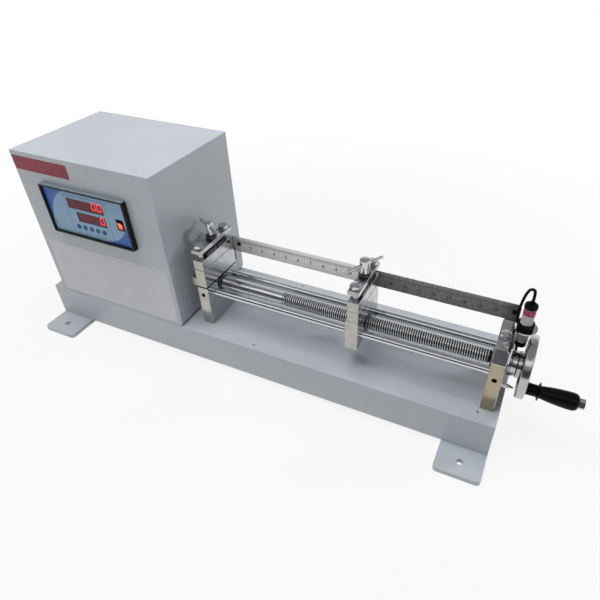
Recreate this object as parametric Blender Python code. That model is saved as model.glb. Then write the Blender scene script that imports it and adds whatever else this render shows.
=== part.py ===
"""Wire elongation testing machine: cabinet with a counter, screw-driven bed and two wire clamps.

X runs along the bed from the cabinet to the handwheel, -Y is the operator's side, +Z is up.
Sizes are in metres. Places along X are counted from the middle of the base, and the whole machine
is centred over the origin at the end.
"""

import math

import bmesh
import bpy
from mathutils import Matrix, Vector

GAP = 0.0003
SHEET = 0.002

# Base: a folded sheet box on two flat straps with a lug at each end.
BASE_LENGTH = 0.930
BASE_DEPTH = 0.221
BASE_HEIGHT = 0.071
BASE_BEND = 0.0025
STRAP_THICKNESS = 0.009
STRAP_WIDTH = 0.077
STRAP_REACH = 0.057
STRAP_CORNER = 0.007
STRAP_HOLE = 0.0055

# Cabinet for the electronics, over the left end of the base.
CABINET_INSET = 0.029
CABINET_WIDTH = 0.308
CABINET_HEIGHT = 0.305
CABINET_FOOT_RADIUS = 0.008
CABINET_TOP_RADIUS = 0.0015
VENT_LENGTH = 0.046
VENT_HEIGHT = 0.004
VENT_PITCH = 0.012
VENT_ROWS = 6
INLET_WIDTH = 0.050
INLET_HEIGHT = 0.026
INLET_DEPTH = 0.022

# Panel counter, 192 mm by 96 mm on the outside.
METER_WIDTH = 0.192
METER_HEIGHT = 0.096
METER_INSET = 0.0561
METER_DROP = 0.0500
METER_RIM = 0.004
METER_PROUD = 0.0105
METER_FACE_PROUD = 0.0060
METER_CASE_DEPTH = 0.075
UPPER_WINDOW_ACROSS = 0.507
UPPER_WINDOW_DOWN = 0.289
UPPER_WINDOW_SHARE = 0.432
LOWER_WINDOW_ACROSS = 0.544
LOWER_WINDOW_DOWN = 0.550
LOWER_WINDOW_SHARE = 0.349
WINDOW_HEIGHT_SHARE = 0.206
KEYS_ACROSS = 0.344
KEYS_DOWN = 0.769
ROCKER_DOWN = 0.505
ROCKER_CLEAR = 0.0090
WINDOW_DEPTH = 0.0009
WINDOW_THICKNESS = 0.0014
WINDOW_LAP = 0.0015
KEY_RADIUS = 0.0044
KEY_LENGTH = 0.0042
KEY_PROUD = 0.0012
KEY_TRAVEL = 0.0006
KEY_PITCH = 0.0151
KEY_COUNT = 5
ROCKER_WIDTH = 0.0150
ROCKER_HEIGHT = 0.0206
ROCKER_WALL = 0.0014
ROCKER_DEPTH = 0.012
ROCKER_TILT = math.radians(7.0)

# Bed: two guide rods and a lead screw between two posts.
POST_WIDTH = 0.022
POST_DEPTH = 0.099
POST_INSET = 0.030
FIXED_POST_CLEAR = 0.029
FIXED_POST_HEIGHT = 0.085
END_POST_INSET = 0.0095
END_POST_HEIGHT = 0.100
END_CAP_HEIGHT = 0.031
END_CAP_DEPTH = 0.0725
END_CAP_CHAMFER = 0.0045
CAP_BOLT_INSET = 0.0310
CAP_BOLT_SHIFT = 0.0008
CAP_BOLT_FLAT = 0.0080
CAP_BOLT_REACH = 0.018
BED_Z = 0.149
ROD_OFFSET = 0.032
ROD_RADIUS = 0.007
SCREW_RADIUS = 0.01175
JOURNAL_RADIUS = 0.008
THREAD_START_X = 0.058
BUSH_WALL = 0.003
GRUB_RADIUS = 0.00275

# Carriage that the lead screw drives along the rods.
CARRIAGE_X = 0.209
CARRIAGE_WIDTH = 0.023
CARRIAGE_DEPTH = 0.0965
CARRIAGE_BOTTOM_Z = 0.1245
NUT_WALL = 0.0055

# Clamp stack, the same on the fixed post and on the carriage.
CLAMP_WIDTH = 0.020
CLAMP_SEAT_Z = 0.1836
CLAMP_PLATE_WIDTH = 0.0325
CLAMP_PLATE_HEIGHT = 0.0175
RISER_HEIGHT = 0.020
LOWER_JAW_HEIGHT = 0.0195
UPPER_JAW_HEIGHT = 0.0085
JAW_LIFT = 0.003
BRIDGE_HEIGHT = 0.0085
BOLT_OFFSET = 0.0375
BOLT_RADIUS = 0.005
BOLT_FLAT = 0.0085
BOLT_HEAD = 0.0068
LOCK_NUT_RADIUS = 0.010
LOCK_NUT_HEIGHT = 0.006
CLAMP_SCREW_RADIUS = 0.005
FIXED_HEAD_RADIUS = 0.0062
MOVING_HEAD_RADIUS = 0.0086
CLAMP_HEAD_HEIGHT = 0.0250
TOMMY_RADIUS = 0.003
TOMMY_LENGTH = 0.074
TOMMY_DROP = 0.0105
FIXED_TOMMY_ANGLE = math.radians(-29.0)
MOVING_TOMMY_ANGLE = math.radians(60.0)

# Steel rule behind the clamps.
RULE_CLEAR = 0.0005
RULE_BOTTOM_Z = 0.1915
RULE_HEIGHT = 0.032
RULE_THICKNESS = 0.0012
RULE_CORNER = 0.006
RULE_HOLE_INSET = 0.0065
RULE_SCREW_RADIUS = 0.0025
RULE_STRAP_THICKNESS = 0.003
RULE_STRAP_FOOT_Z = 0.160

# Handwheel and its revolving handle.
HUB_RADIUS = 0.021
HUB_LENGTH = 0.0140
WHEEL_RADIUS = 0.052
WHEEL_RIM_WIDTH = 0.0135
WHEEL_RIM_DEPTH = 0.009
WHEEL_BOSS_RADIUS = 0.022
WHEEL_BOSS_LENGTH = 0.0070
WHEEL_WEB = 0.006
HANDLE_REACH = 0.038
HANDLE_ANGLE = math.radians(12.5)
SPINDLE_RADIUS = 0.004
GRIP_LENGTH = 0.0785
GRIP_NECK_RADIUS = 0.0102
GRIP_RING_RADIUS = 0.0155
GRIP_END_RADIUS = 0.0143
GRIP_HEAD_FLAT = 0.0075
GRIP_HEAD_LENGTH = 0.0085

# Proximity sensor over the hub.
SENSOR_CLEAR = 0.011
SENSOR_OFFSET = 0.011
SENSOR_RADIUS = 0.009
SENSOR_TIP_Z = 0.1800
SENSOR_TIP_HEIGHT = 0.0095
SENSOR_CAP_Z = 0.2525
SENSOR_CAP_HEIGHT = 0.0060
SENSOR_CAP_RADIUS = 0.0098
SENSOR_NUT_FLAT = 0.0120
SENSOR_NUT_HEIGHT = 0.0085
SENSOR_LOCK_NUT_HEIGHT = 0.0032
SENSOR_BRACKET_Z = 0.2132
SENSOR_BRACKET_SHEET = 0.002
SENSOR_RING_RADIUS = 0.0185
CABLE_RADIUS = 0.00225
CABLE_END_GAP = 0.0008
GLAND_RADIUS = 0.0063
# Each place is across and back from the sensor's axis, and its height.
CABLE_ROUTE = (
    (0.0003, 0.0028, 0.2625),
    (0.0003, 0.0028, 0.2700),
    (-0.0010, 0.0070, 0.2778),
    (-0.0065, 0.0130, 0.2745),
    (-0.0105, 0.0170, 0.2640),
    (-0.0135, 0.0205, 0.2440),
    (-0.0145, 0.0235, 0.2215),
    (-0.0120, 0.0250, 0.1990),
    (-0.0065, 0.0255, 0.1760),
    (-0.0030, 0.0260, 0.1500),
    (-0.0040, 0.0320, 0.1290),
    (-0.0075, 0.0470, 0.1175),
    (-0.0135, 0.0620, 0.1200),
    (-0.0195, 0.0694, 0.1170),
    (-0.0205, 0.0700, 0.1100),
    (-0.0205, 0.0700, 0.1020),
)

# Places that follow from the sizes above.
BASE_BOTTOM_Z = STRAP_THICKNESS + GAP
BASE_TOP_Z = BASE_BOTTOM_Z + BASE_HEIGHT - GAP
BASE_FRONT_Y = -BASE_DEPTH / 2
BASE_LEFT_X = -BASE_LENGTH / 2
BED_FRONT_Y = BASE_FRONT_Y + POST_INSET
BED_Y = BED_FRONT_Y + POST_DEPTH / 2
BED_BACK_Y = BED_FRONT_Y + POST_DEPTH
CABINET_LEFT_X = BASE_LEFT_X + CABINET_INSET
CABINET_RIGHT_X = CABINET_LEFT_X + CABINET_WIDTH
CABINET_BOTTOM_Z = BASE_TOP_Z + GAP
CABINET_TOP_Z = CABINET_BOTTOM_Z + CABINET_HEIGHT
COVER_FRONT_Y = BASE_DEPTH / 2 - SHEET
FIXED_POST_X = CABINET_RIGHT_X + FIXED_POST_CLEAR + POST_WIDTH / 2
END_POST_X = BASE_LENGTH / 2 - END_POST_INSET - POST_WIDTH / 2
FIXED_CLAMP_X = FIXED_POST_X + (POST_WIDTH - CLAMP_WIDTH) / 2
MOVING_CLAMP_X = CARRIAGE_X + (CARRIAGE_WIDTH - CLAMP_WIDTH) / 2
RISER_TOP_Z = CLAMP_SEAT_Z + RISER_HEIGHT
LOWER_JAW_Z = RISER_TOP_Z + GAP
JAW_LINE_Z = LOWER_JAW_Z + LOWER_JAW_HEIGHT
UPPER_JAW_Z = JAW_LINE_Z + GAP
UPPER_JAW_TOP_Z = UPPER_JAW_Z + UPPER_JAW_HEIGHT
BRIDGE_Z = UPPER_JAW_TOP_Z + JAW_LIFT + 0.001
BRIDGE_TOP_Z = BRIDGE_Z + BRIDGE_HEIGHT
LOCK_NUT_TOP_Z = BRIDGE_TOP_Z + GAP + LOCK_NUT_HEIGHT
CLAMP_HEAD_Z = LOCK_NUT_TOP_Z + 0.0008
CLAMP_HEAD_TOP_Z = CLAMP_HEAD_Z + CLAMP_HEAD_HEIGHT
TOMMY_Z = CLAMP_HEAD_TOP_Z - TOMMY_DROP
METER_LEFT_X = CABINET_LEFT_X + METER_INSET
METER_TOP_Z = CABINET_TOP_Z - METER_DROP
METER_X = METER_LEFT_X + METER_WIDTH / 2
METER_Z = METER_TOP_Z - METER_HEIGHT / 2
METER_FACE_Y = BASE_FRONT_Y - METER_FACE_PROUD
UPPER_WINDOW = (
    METER_LEFT_X + METER_WIDTH * UPPER_WINDOW_ACROSS,
    METER_TOP_Z - METER_HEIGHT * UPPER_WINDOW_DOWN,
    METER_WIDTH * UPPER_WINDOW_SHARE,
    METER_HEIGHT * WINDOW_HEIGHT_SHARE,
)
LOWER_WINDOW = (
    METER_LEFT_X + METER_WIDTH * LOWER_WINDOW_ACROSS,
    METER_TOP_Z - METER_HEIGHT * LOWER_WINDOW_DOWN,
    METER_WIDTH * LOWER_WINDOW_SHARE,
    METER_HEIGHT * WINDOW_HEIGHT_SHARE,
)
KEY_LEFT_X = METER_LEFT_X + METER_WIDTH * KEYS_ACROSS
KEY_Z = METER_TOP_Z - METER_HEIGHT * KEYS_DOWN
ROCKER_X = METER_LEFT_X + METER_WIDTH - METER_RIM - ROCKER_CLEAR - ROCKER_WIDTH / 2
ROCKER_Z = METER_TOP_Z - METER_HEIGHT * ROCKER_DOWN
END_POST_LEFT_X = END_POST_X - POST_WIDTH / 2
END_POST_RIGHT_X = END_POST_X + POST_WIDTH / 2
FIXED_POST_LEFT_X = FIXED_POST_X - POST_WIDTH / 2
FIXED_POST_RIGHT_X = FIXED_POST_X + POST_WIDTH / 2
RULE_LEFT_X = FIXED_POST_RIGHT_X + RULE_CLEAR
RULE_RIGHT_X = END_POST_RIGHT_X
END_POST_TOP_Z = BASE_TOP_Z + GAP + END_POST_HEIGHT
END_CAP_Z = END_POST_TOP_Z + GAP
END_CAP_TOP_Z = END_CAP_Z + END_CAP_HEIGHT
THREAD_END_X = END_POST_LEFT_X - 0.004
SENSOR_X = END_POST_RIGHT_X + SENSOR_CLEAR
SENSOR_Y = BED_Y + SENSOR_OFFSET
CABLE_POINTS = [(SENSOR_X + across, SENSOR_Y + back, height) for across, back, height in CABLE_ROUTE]
GLAND_X, GLAND_Y = CABLE_POINTS[-1][:2]
HUB_LEFT_X = END_POST_RIGHT_X + 0.001
HUB_RIGHT_X = HUB_LEFT_X + HUB_LENGTH
WHEEL_BOSS_X = HUB_RIGHT_X + GAP
WHEEL_LEFT_X = WHEEL_BOSS_X + WHEEL_BOSS_LENGTH
WHEEL_RIGHT_X = WHEEL_LEFT_X + WHEEL_RIM_WIDTH
HANDLE_Y = BED_Y - HANDLE_REACH * math.sin(HANDLE_ANGLE)
HANDLE_Z = BED_Z - HANDLE_REACH * math.cos(HANDLE_ANGLE)
GRIP_LEFT_X = WHEEL_RIGHT_X + 0.0012
GRIP_RIGHT_X = GRIP_LEFT_X + GRIP_LENGTH
GRIP_HEAD_X = GRIP_RIGHT_X + GAP
GRIP_HEAD_END_X = GRIP_HEAD_X + GRIP_HEAD_LENGTH
MACHINE_MIDDLE_X = (BASE_LEFT_X + GRIP_HEAD_END_X) / 2
RULE_FRONT_Y = BED_BACK_Y + GAP
RULE_BACK_Y = RULE_FRONT_Y + RULE_THICKNESS
RULE_SCREW_Z = RULE_BOTTOM_Z + RULE_HEIGHT * 0.53
BOLT_BORE = BOLT_RADIUS + GAP


def clear_scene():
    for item in list(bpy.data.objects):
        bpy.data.objects.remove(item, do_unlink=True)


def finish(name, colour, roughness, metallic=0.0):
    """Make a Principled material from a colour, a roughness and a metallic value."""
    material = bpy.data.materials.new(name)
    material.use_nodes = True
    shader = material.node_tree.nodes["Principled BSDF"]
    shader.inputs["Base Color"].default_value = (*colour, 1.0)
    shader.inputs["Roughness"].default_value = roughness
    shader.inputs["Metallic"].default_value = metallic
    material.diffuse_color = (*colour, 1.0)
    return material


def on_axis(axis, along, first, second):
    """Place a point from its distance along an axis and its two cross coordinates in X, Y, Z order."""
    if axis == "X":
        return Vector((along, first, second))
    if axis == "Y":
        return Vector((first, along, second))
    return Vector((first, second, along))


def add_prism(mesh, axis, outline, low, high):
    """Extrude a flat outline, given by its two cross coordinates, from low to high along an axis."""
    start = [mesh.verts.new(on_axis(axis, low, a, b)) for a, b in outline]
    face = mesh.faces.new(start)
    grown = bmesh.ops.extrude_face_region(mesh, geom=[face])
    moved = [item for item in grown["geom"] if isinstance(item, bmesh.types.BMVert)]
    bmesh.ops.translate(mesh, verts=moved, vec=on_axis(axis, high - low, 0, 0))


def add_block(mesh, low, high):
    """Add a square block between two corners."""
    outline = rectangle((low[0], high[0]), (low[1], high[1]))
    add_prism(mesh, "Z", outline, low[2], high[2])


def add_turned(mesh, axis, centre, profile, sides=24, ring=False, turn=0.0):
    """Turn a profile about an axis.

    Each profile entry is (along, radius), or (along, radius, corners) for a ring of flats whose
    radius is measured to the flats. A zero radius is a pole. A ring profile closes on itself.
    """
    loops = []
    for entry in profile:
        along, radius = entry[0], entry[1]
        corners = entry[2] if len(entry) > 2 else 0
        if radius == 0.0:
            loops.append([mesh.verts.new(on_axis(axis, along, *centre))])
            continue
        loop = []
        for step in range(sides):
            angle = math.tau * step / sides
            reach = radius
            if corners:
                sector = math.tau / corners
                reach = radius / math.cos(angle % sector - sector / 2)
            first = centre[0] + reach * math.cos(angle + turn)
            second = centre[1] + reach * math.sin(angle + turn)
            loop.append(mesh.verts.new(on_axis(axis, along, first, second)))
        loops.append(loop)
    pairs = list(zip(loops, loops[1:]))
    if ring:
        pairs.append((loops[-1], loops[0]))
    for near, far in pairs:
        for step in range(sides):
            after = (step + 1) % sides
            if len(near) == 1:
                mesh.faces.new((near[0], far[step], far[after]))
            elif len(far) == 1:
                mesh.faces.new((near[after], near[step], far[0]))
            else:
                mesh.faces.new((near[after], near[step], far[step], far[after]))


def rectangle(first, second):
    return [(first[0], second[0]), (first[1], second[0]), (first[1], second[1]), (first[0], second[1])]


def rounded(centre, size, radii, steps=4):
    """Outline of a rectangle with its own radius at each corner, from the low corner round."""
    half_a, half_b = size[0] / 2, size[1] / 2
    corners = ((-1, -1, math.pi), (1, -1, 1.5 * math.pi), (1, 1, 0.0), (-1, 1, 0.5 * math.pi))
    points = []
    for (sign_a, sign_b, start), radius in zip(corners, radii):
        middle_a = centre[0] + sign_a * (half_a - radius)
        middle_b = centre[1] + sign_b * (half_b - radius)
        for step in range(steps + 1):
            angle = start + math.pi / 2 * step / steps
            points.append((middle_a + radius * math.cos(angle), middle_b + radius * math.sin(angle)))
    return points


def circle(centre, radius, sides=24):
    """Outline of a circle as an even ring of points."""
    turns = [math.tau * step / sides for step in range(sides)]
    return [(centre[0] + radius * math.cos(a), centre[1] + radius * math.sin(a)) for a in turns]


def piece(name, mesh, origin, material, smooth=False):
    """Turn a mesh built in world space into an object with its origin at the given point."""
    origin = Vector(origin)
    bmesh.ops.translate(mesh, verts=mesh.verts, vec=-origin)
    bmesh.ops.recalc_face_normals(mesh, faces=mesh.faces)
    data = bpy.data.meshes.new(name)
    mesh.to_mesh(data)
    mesh.free()
    data.materials.append(material)
    item = bpy.data.objects.new(name, data)
    item.location = origin
    bpy.context.scene.collection.objects.link(item)
    if smooth:
        data.shade_smooth()
        data.set_sharp_from_angle(angle=math.radians(35))
    return item


def block(name, low, high, material, edge=0.0):
    mesh = bmesh.new()
    add_block(mesh, low, high)
    origin = [(a + b) / 2 for a, b in zip(low, high)]
    item = piece(name, mesh, origin, material)
    if edge:
        soften(item, edge)
    return item


def soften(item, width, segments=1):
    bevel = item.modifiers.new("edges", "BEVEL")
    bevel.width = width
    bevel.segments = segments
    bevel.limit_method = "ANGLE"


def cut(item, mesh):
    """Take a closed shape, built in world space, out of a piece."""
    bmesh.ops.recalc_face_normals(mesh, faces=mesh.faces)
    data = bpy.data.meshes.new(item.name + "_cut")
    mesh.to_mesh(data)
    mesh.free()
    cutter = bpy.data.objects.new(item.name + "_cut", data)
    bpy.context.scene.collection.objects.link(cutter)
    cutter.hide_render = True
    cutter.display_type = "WIRE"
    boolean = item.modifiers.new("cut", "BOOLEAN")
    boolean.operation = "DIFFERENCE"
    boolean.solver = "EXACT"
    boolean.object = cutter


def bore(item, axis, centre, radius, low, high, sides=24):
    mesh = bmesh.new()
    add_prism(mesh, axis, circle(centre, radius, sides), low, high)
    cut(item, mesh)


def pocket(item, low, high):
    mesh = bmesh.new()
    add_block(mesh, low, high)
    cut(item, mesh)


def make_base(paint):
    mesh = bmesh.new()
    middle = (0.0, (BASE_BOTTOM_Z + BASE_TOP_Z) / 2)
    size = (BASE_DEPTH, BASE_TOP_Z - BASE_BOTTOM_Z)
    outline = rounded(middle, size, (0.0004, 0.0004, BASE_BEND, BASE_BEND), 3)
    add_prism(mesh, "X", outline, BASE_LEFT_X, -BASE_LEFT_X)
    shell = piece("base_shell", mesh, (0, 0, middle[1]), paint)
    inside_low = (BASE_LEFT_X + SHEET, BASE_FRONT_Y + SHEET, BASE_BOTTOM_Z - 0.01)
    inside_high = (-BASE_LEFT_X - SHEET, -BASE_FRONT_Y - SHEET, BASE_TOP_Z - SHEET)
    pocket(shell, inside_low, inside_high)
    bore(shell, "Z", (GLAND_X, GLAND_Y), GLAND_RADIUS + GAP, BASE_TOP_Z - 0.01, BASE_TOP_Z + 0.01, 16)


def make_strap(name, centre_x, paint):
    """A flat bar under the base, with a rounded lug and a bolt hole in front and behind."""
    mesh = bmesh.new()
    size = (STRAP_WIDTH, BASE_DEPTH + 2 * STRAP_REACH)
    add_prism(mesh, "Z", rounded((centre_x, 0), size, [STRAP_CORNER] * 4), 0.0, STRAP_THICKNESS)
    strap = piece(name, mesh, (centre_x, 0, STRAP_THICKNESS / 2), paint)
    for side in (-1, 1):
        hole_y = side * (BASE_DEPTH / 2 + STRAP_REACH * 0.53)
        bore(strap, "Z", (centre_x, hole_y), STRAP_HOLE, -0.01, STRAP_THICKNESS + 0.01)


def make_cabinet(paint):
    mesh = bmesh.new()
    middle = ((CABINET_LEFT_X + CABINET_RIGHT_X) / 2, (CABINET_BOTTOM_Z + CABINET_TOP_Z) / 2)
    size = (CABINET_WIDTH, CABINET_HEIGHT)
    radii = (CABINET_FOOT_RADIUS, CABINET_FOOT_RADIUS, CABINET_TOP_RADIUS, CABINET_TOP_RADIUS)
    add_prism(mesh, "Y", rounded(middle, size, radii), BASE_FRONT_Y, COVER_FRONT_Y - GAP)
    shell = piece("cabinet_shell", mesh, (middle[0], 0, middle[1]), paint)
    inner = bmesh.new()
    inner_size = (CABINET_WIDTH - 2 * SHEET, CABINET_HEIGHT - 2 * SHEET)
    inner_radii = (CABINET_FOOT_RADIUS - SHEET, CABINET_FOOT_RADIUS - SHEET, 0.0005, 0.0005)
    add_prism(inner, "Y", rounded(middle, inner_size, inner_radii), BASE_FRONT_Y + SHEET, BASE_DEPTH)
    cut(shell, inner)
    panel = bmesh.new()
    hole = (METER_WIDTH - METER_RIM, METER_HEIGHT - METER_RIM / 2)
    first = (METER_X - hole[0] / 2, METER_X + hole[0] / 2)
    second = (METER_Z - hole[1] / 2, METER_Z + hole[1] / 2)
    add_prism(panel, "Y", rectangle(first, second), BASE_FRONT_Y - 0.01, BASE_FRONT_Y + 0.01)
    cut(shell, panel)


def make_rear_cover(paint, plastic):
    """Back sheet of the cabinet with two columns of vents and the mains inlet."""
    mesh = bmesh.new()
    middle = ((CABINET_LEFT_X + CABINET_RIGHT_X) / 2, (CABINET_BOTTOM_Z + CABINET_TOP_Z) / 2)
    radii = (CABINET_FOOT_RADIUS, CABINET_FOOT_RADIUS, CABINET_TOP_RADIUS, CABINET_TOP_RADIUS)
    outline = rounded(middle, (CABINET_WIDTH, CABINET_HEIGHT), radii)
    add_prism(mesh, "Y", outline, COVER_FRONT_Y, BASE_DEPTH / 2)
    cover = piece("cabinet_rear_cover", mesh, (middle[0], BASE_DEPTH / 2, middle[1]), paint)
    vents = bmesh.new()
    for column in (-1, 1):
        for row in range(VENT_ROWS):
            vent_x = middle[0] + column * VENT_LENGTH * 0.85
            vent_z = CABINET_TOP_Z - 0.045 - row * VENT_PITCH
            size = (VENT_LENGTH, VENT_HEIGHT)
            outline = rounded((vent_x, vent_z), size, [VENT_HEIGHT * 0.45] * 4, 2)
            add_prism(vents, "Y", outline, COVER_FRONT_Y - 0.01, BASE_DEPTH / 2 + 0.01)
    cut(cover, vents)
    inlet_x = middle[0] + CABINET_WIDTH * 0.28
    inlet_z = CABINET_BOTTOM_Z + 0.060
    body = (INLET_WIDTH * 0.56, INLET_HEIGHT * 0.78)
    hole = bmesh.new()
    around = (body[0] + 2 * GAP, body[1] + 2 * GAP)
    outline = rounded((inlet_x, inlet_z), around, [0.003] * 4, 2)
    add_prism(hole, "Y", outline, COVER_FRONT_Y - 0.01, BASE_DEPTH / 2 + 0.01)
    cut(cover, hole)
    make_inlet((inlet_x, inlet_z), body, plastic)


def make_inlet(centre, body, plastic):
    """Mains inlet: a flange outside the cover, a body through it and a recess for the plug."""
    flange_y = BASE_DEPTH / 2 + GAP
    mesh = bmesh.new()
    outline = rounded(centre, (INLET_WIDTH, INLET_HEIGHT), [0.003] * 4, 2)
    add_prism(mesh, "Y", outline, flange_y, flange_y + 0.0025)
    inlet = piece("mains_inlet", mesh, (centre[0], flange_y, centre[1]), plastic)
    core = bmesh.new()
    add_prism(core, "Y", rounded(centre, body, [0.0028] * 4, 2), flange_y - INLET_DEPTH, flange_y + 0.001)
    join(inlet, core)
    recess = bmesh.new()
    size = (body[0] - 0.004, body[1] - 0.004)
    add_prism(recess, "Y", rounded(centre, size, [0.0025] * 4, 2), flange_y - INLET_DEPTH + 0.004, flange_y + 0.01)
    cut(inlet, recess)


def join(item, mesh):
    """Fuse a closed shape, built in world space, with a piece."""
    cut(item, mesh)
    item.modifiers[-1].operation = "UNION"


def make_meter(black, face, smoked):
    """Panel counter: rim, stepped case through the panel, and a red pane behind two windows."""
    mesh = bmesh.new()
    outer = rounded((METER_X, METER_Z), (METER_WIDTH, METER_HEIGHT), [0.003] * 4)
    add_prism(mesh, "Y", outer, BASE_FRONT_Y - METER_PROUD, BASE_FRONT_Y - GAP)
    bezel = piece("counter_bezel", mesh, (METER_X, BASE_FRONT_Y, METER_Z), black)
    half = (METER_WIDTH / 2 - METER_RIM, METER_HEIGHT / 2 - METER_RIM)
    pocket(
        bezel,
        (METER_X - half[0], BASE_FRONT_Y - 0.02, METER_Z - half[1]),
        (METER_X + half[0], BASE_FRONT_Y + 0.01, METER_Z + half[1]),
    )
    soften(bezel, 0.0006)

    case = bmesh.new()
    rear = (METER_WIDTH / 2 - METER_RIM / 2 - GAP, METER_HEIGHT / 2 - METER_RIM / 4 - GAP)
    add_block(
        case,
        (METER_X - rear[0], BASE_FRONT_Y, METER_Z - rear[1]),
        (METER_X + rear[0], BASE_FRONT_Y + METER_CASE_DEPTH, METER_Z + rear[1]),
    )
    body = piece("counter_case", case, (METER_X, BASE_FRONT_Y, METER_Z), face)
    front = bmesh.new()
    reach = (half[0] - GAP, half[1] - GAP)
    add_block(
        front,
        (METER_X - reach[0], METER_FACE_Y, METER_Z - reach[1]),
        (METER_X + reach[0], BASE_FRONT_Y + 0.004, METER_Z + reach[1]),
    )
    join(body, front)
    pane_front = METER_FACE_Y + WINDOW_DEPTH
    pane_back = pane_front + WINDOW_THICKNESS
    for centre_x, centre_z, width, height in (UPPER_WINDOW, LOWER_WINDOW):
        pocket(
            body,
            (centre_x - width / 2, METER_FACE_Y - 0.005, centre_z - height / 2),
            (centre_x + width / 2, pane_front, centre_z + height / 2),
        )
    centre_x, centre_z, width, height = UPPER_WINDOW
    low_z = LOWER_WINDOW[1] - LOWER_WINDOW[3] / 2
    low = (centre_x - width / 2 - WINDOW_LAP, pane_front, low_z - WINDOW_LAP)
    high = (centre_x + width / 2 + WINDOW_LAP, pane_back, centre_z + height / 2 + WINDOW_LAP)
    slot_low = [side - GAP for side in low]
    slot_high = [side + GAP for side in high]
    pocket(body, slot_low, slot_high)
    block("display_window", low, high, smoked)
    return body


def make_keys(case, blue):
    """Round keys in a row, each free to sink a little into its own hole in the case."""
    for number in range(KEY_COUNT):
        key_x = KEY_LEFT_X + number * KEY_PITCH
        seat_y = METER_FACE_Y + KEY_LENGTH - KEY_PROUD
        well_y = seat_y + KEY_TRAVEL + GAP
        bore(case, "Y", (key_x, KEY_Z), KEY_RADIUS + GAP, METER_FACE_Y - 0.005, well_y, 20)
        mesh = bmesh.new()
        front_y = METER_FACE_Y - KEY_PROUD
        profile = (
            (front_y, 0.0),
            (front_y, KEY_RADIUS * 0.72),
            (front_y + KEY_PROUD * 0.5, KEY_RADIUS),
            (seat_y, KEY_RADIUS),
            (seat_y, 0.0),
        )
        add_turned(mesh, "Y", (key_x, KEY_Z), profile, 20)
        piece("key_%d" % (number + 1), mesh, (key_x, front_y, KEY_Z), blue, smooth=True)


def make_rocker(case, black, red):
    """Rocker switch: a frame in the case and a button that rocks about a level pin."""
    front_y = METER_FACE_Y - 0.0012
    back_y = METER_FACE_Y + ROCKER_DEPTH
    half = (ROCKER_WIDTH / 2, ROCKER_HEIGHT / 2)
    pocket(
        case,
        (ROCKER_X - half[0] - GAP, METER_FACE_Y - 0.005, ROCKER_Z - half[1] - GAP),
        (ROCKER_X + half[0] + GAP, back_y + GAP, ROCKER_Z + half[1] + GAP),
    )
    frame = block(
        "rocker_frame",
        (ROCKER_X - half[0], front_y, ROCKER_Z - half[1]),
        (ROCKER_X + half[0], back_y, ROCKER_Z + half[1]),
        black,
    )
    hollow = (half[0] - ROCKER_WALL, half[1] - ROCKER_WALL)
    pocket(
        frame,
        (ROCKER_X - hollow[0], front_y - 0.005, ROCKER_Z - hollow[1]),
        (ROCKER_X + hollow[0], back_y - ROCKER_WALL, ROCKER_Z + hollow[1]),
    )
    pin_y = METER_FACE_Y + 0.0050
    reach = hollow[1] - 0.0011
    side = ((-0.0074, reach), (-0.0062, 0.0), (-0.0074, -reach), (0.0035, -reach * 0.6), (0.0035, reach * 0.6))
    tilt = Matrix.Rotation(ROCKER_TILT, 2)
    outline = []
    for depth, height in side:
        turned = tilt @ Vector((depth, height))
        outline.append((pin_y + turned.x, ROCKER_Z + turned.y))
    mesh = bmesh.new()
    grip = hollow[0] - 2 * GAP
    add_prism(mesh, "X", outline, ROCKER_X - grip, ROCKER_X + grip)
    piece("rocker_button", mesh, (ROCKER_X, pin_y, ROCKER_Z), red)


def make_post(name, centre_x, height, steel):
    """A post with bores for both guide rods and the screw's bush, and cross holes for grub screws."""
    low = (centre_x - POST_WIDTH / 2, BED_FRONT_Y, BASE_TOP_Z + GAP)
    high = (centre_x + POST_WIDTH / 2, BED_BACK_Y, BASE_TOP_Z + GAP + height)
    post = block(name, low, high, steel, 0.0006)
    reach = POST_WIDTH
    for side in (-1, 1):
        rod_y = BED_Y + side * ROD_OFFSET
        bore(post, "X", (rod_y, BED_Z), ROD_RADIUS + GAP, centre_x - reach, centre_x + reach)
    bush = JOURNAL_RADIUS + GAP + BUSH_WALL + GAP
    bore(post, "X", (BED_Y, BED_Z), bush, centre_x - reach, centre_x + reach)
    wall = POST_DEPTH / 2 - ROD_OFFSET
    bore(post, "Y", (centre_x, BED_Z), GRUB_RADIUS, BED_FRONT_Y - 0.01, BED_FRONT_Y + wall, 16)
    return post


def make_bush(name, centre_x, flange_side, bronze):
    """A sleeve through a post with a thin flange on one face."""
    bore_radius = JOURNAL_RADIUS + GAP
    outer = bore_radius + BUSH_WALL
    flange = outer + 0.004
    tail = centre_x - flange_side * POST_WIDTH / 2
    face = centre_x + flange_side * (POST_WIDTH / 2 + GAP)
    lip = face + flange_side * 0.0025
    profile = ((tail, bore_radius), (tail, outer), (face, outer), (face, flange), (lip, flange), (lip, bore_radius))
    if flange_side < 0:
        profile = tuple(reversed(profile))
    mesh = bmesh.new()
    add_turned(mesh, "X", (BED_Y, BED_Z), profile, 24, ring=True)
    piece(name, mesh, (centre_x, BED_Y, BED_Z), bronze, smooth=True)


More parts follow.
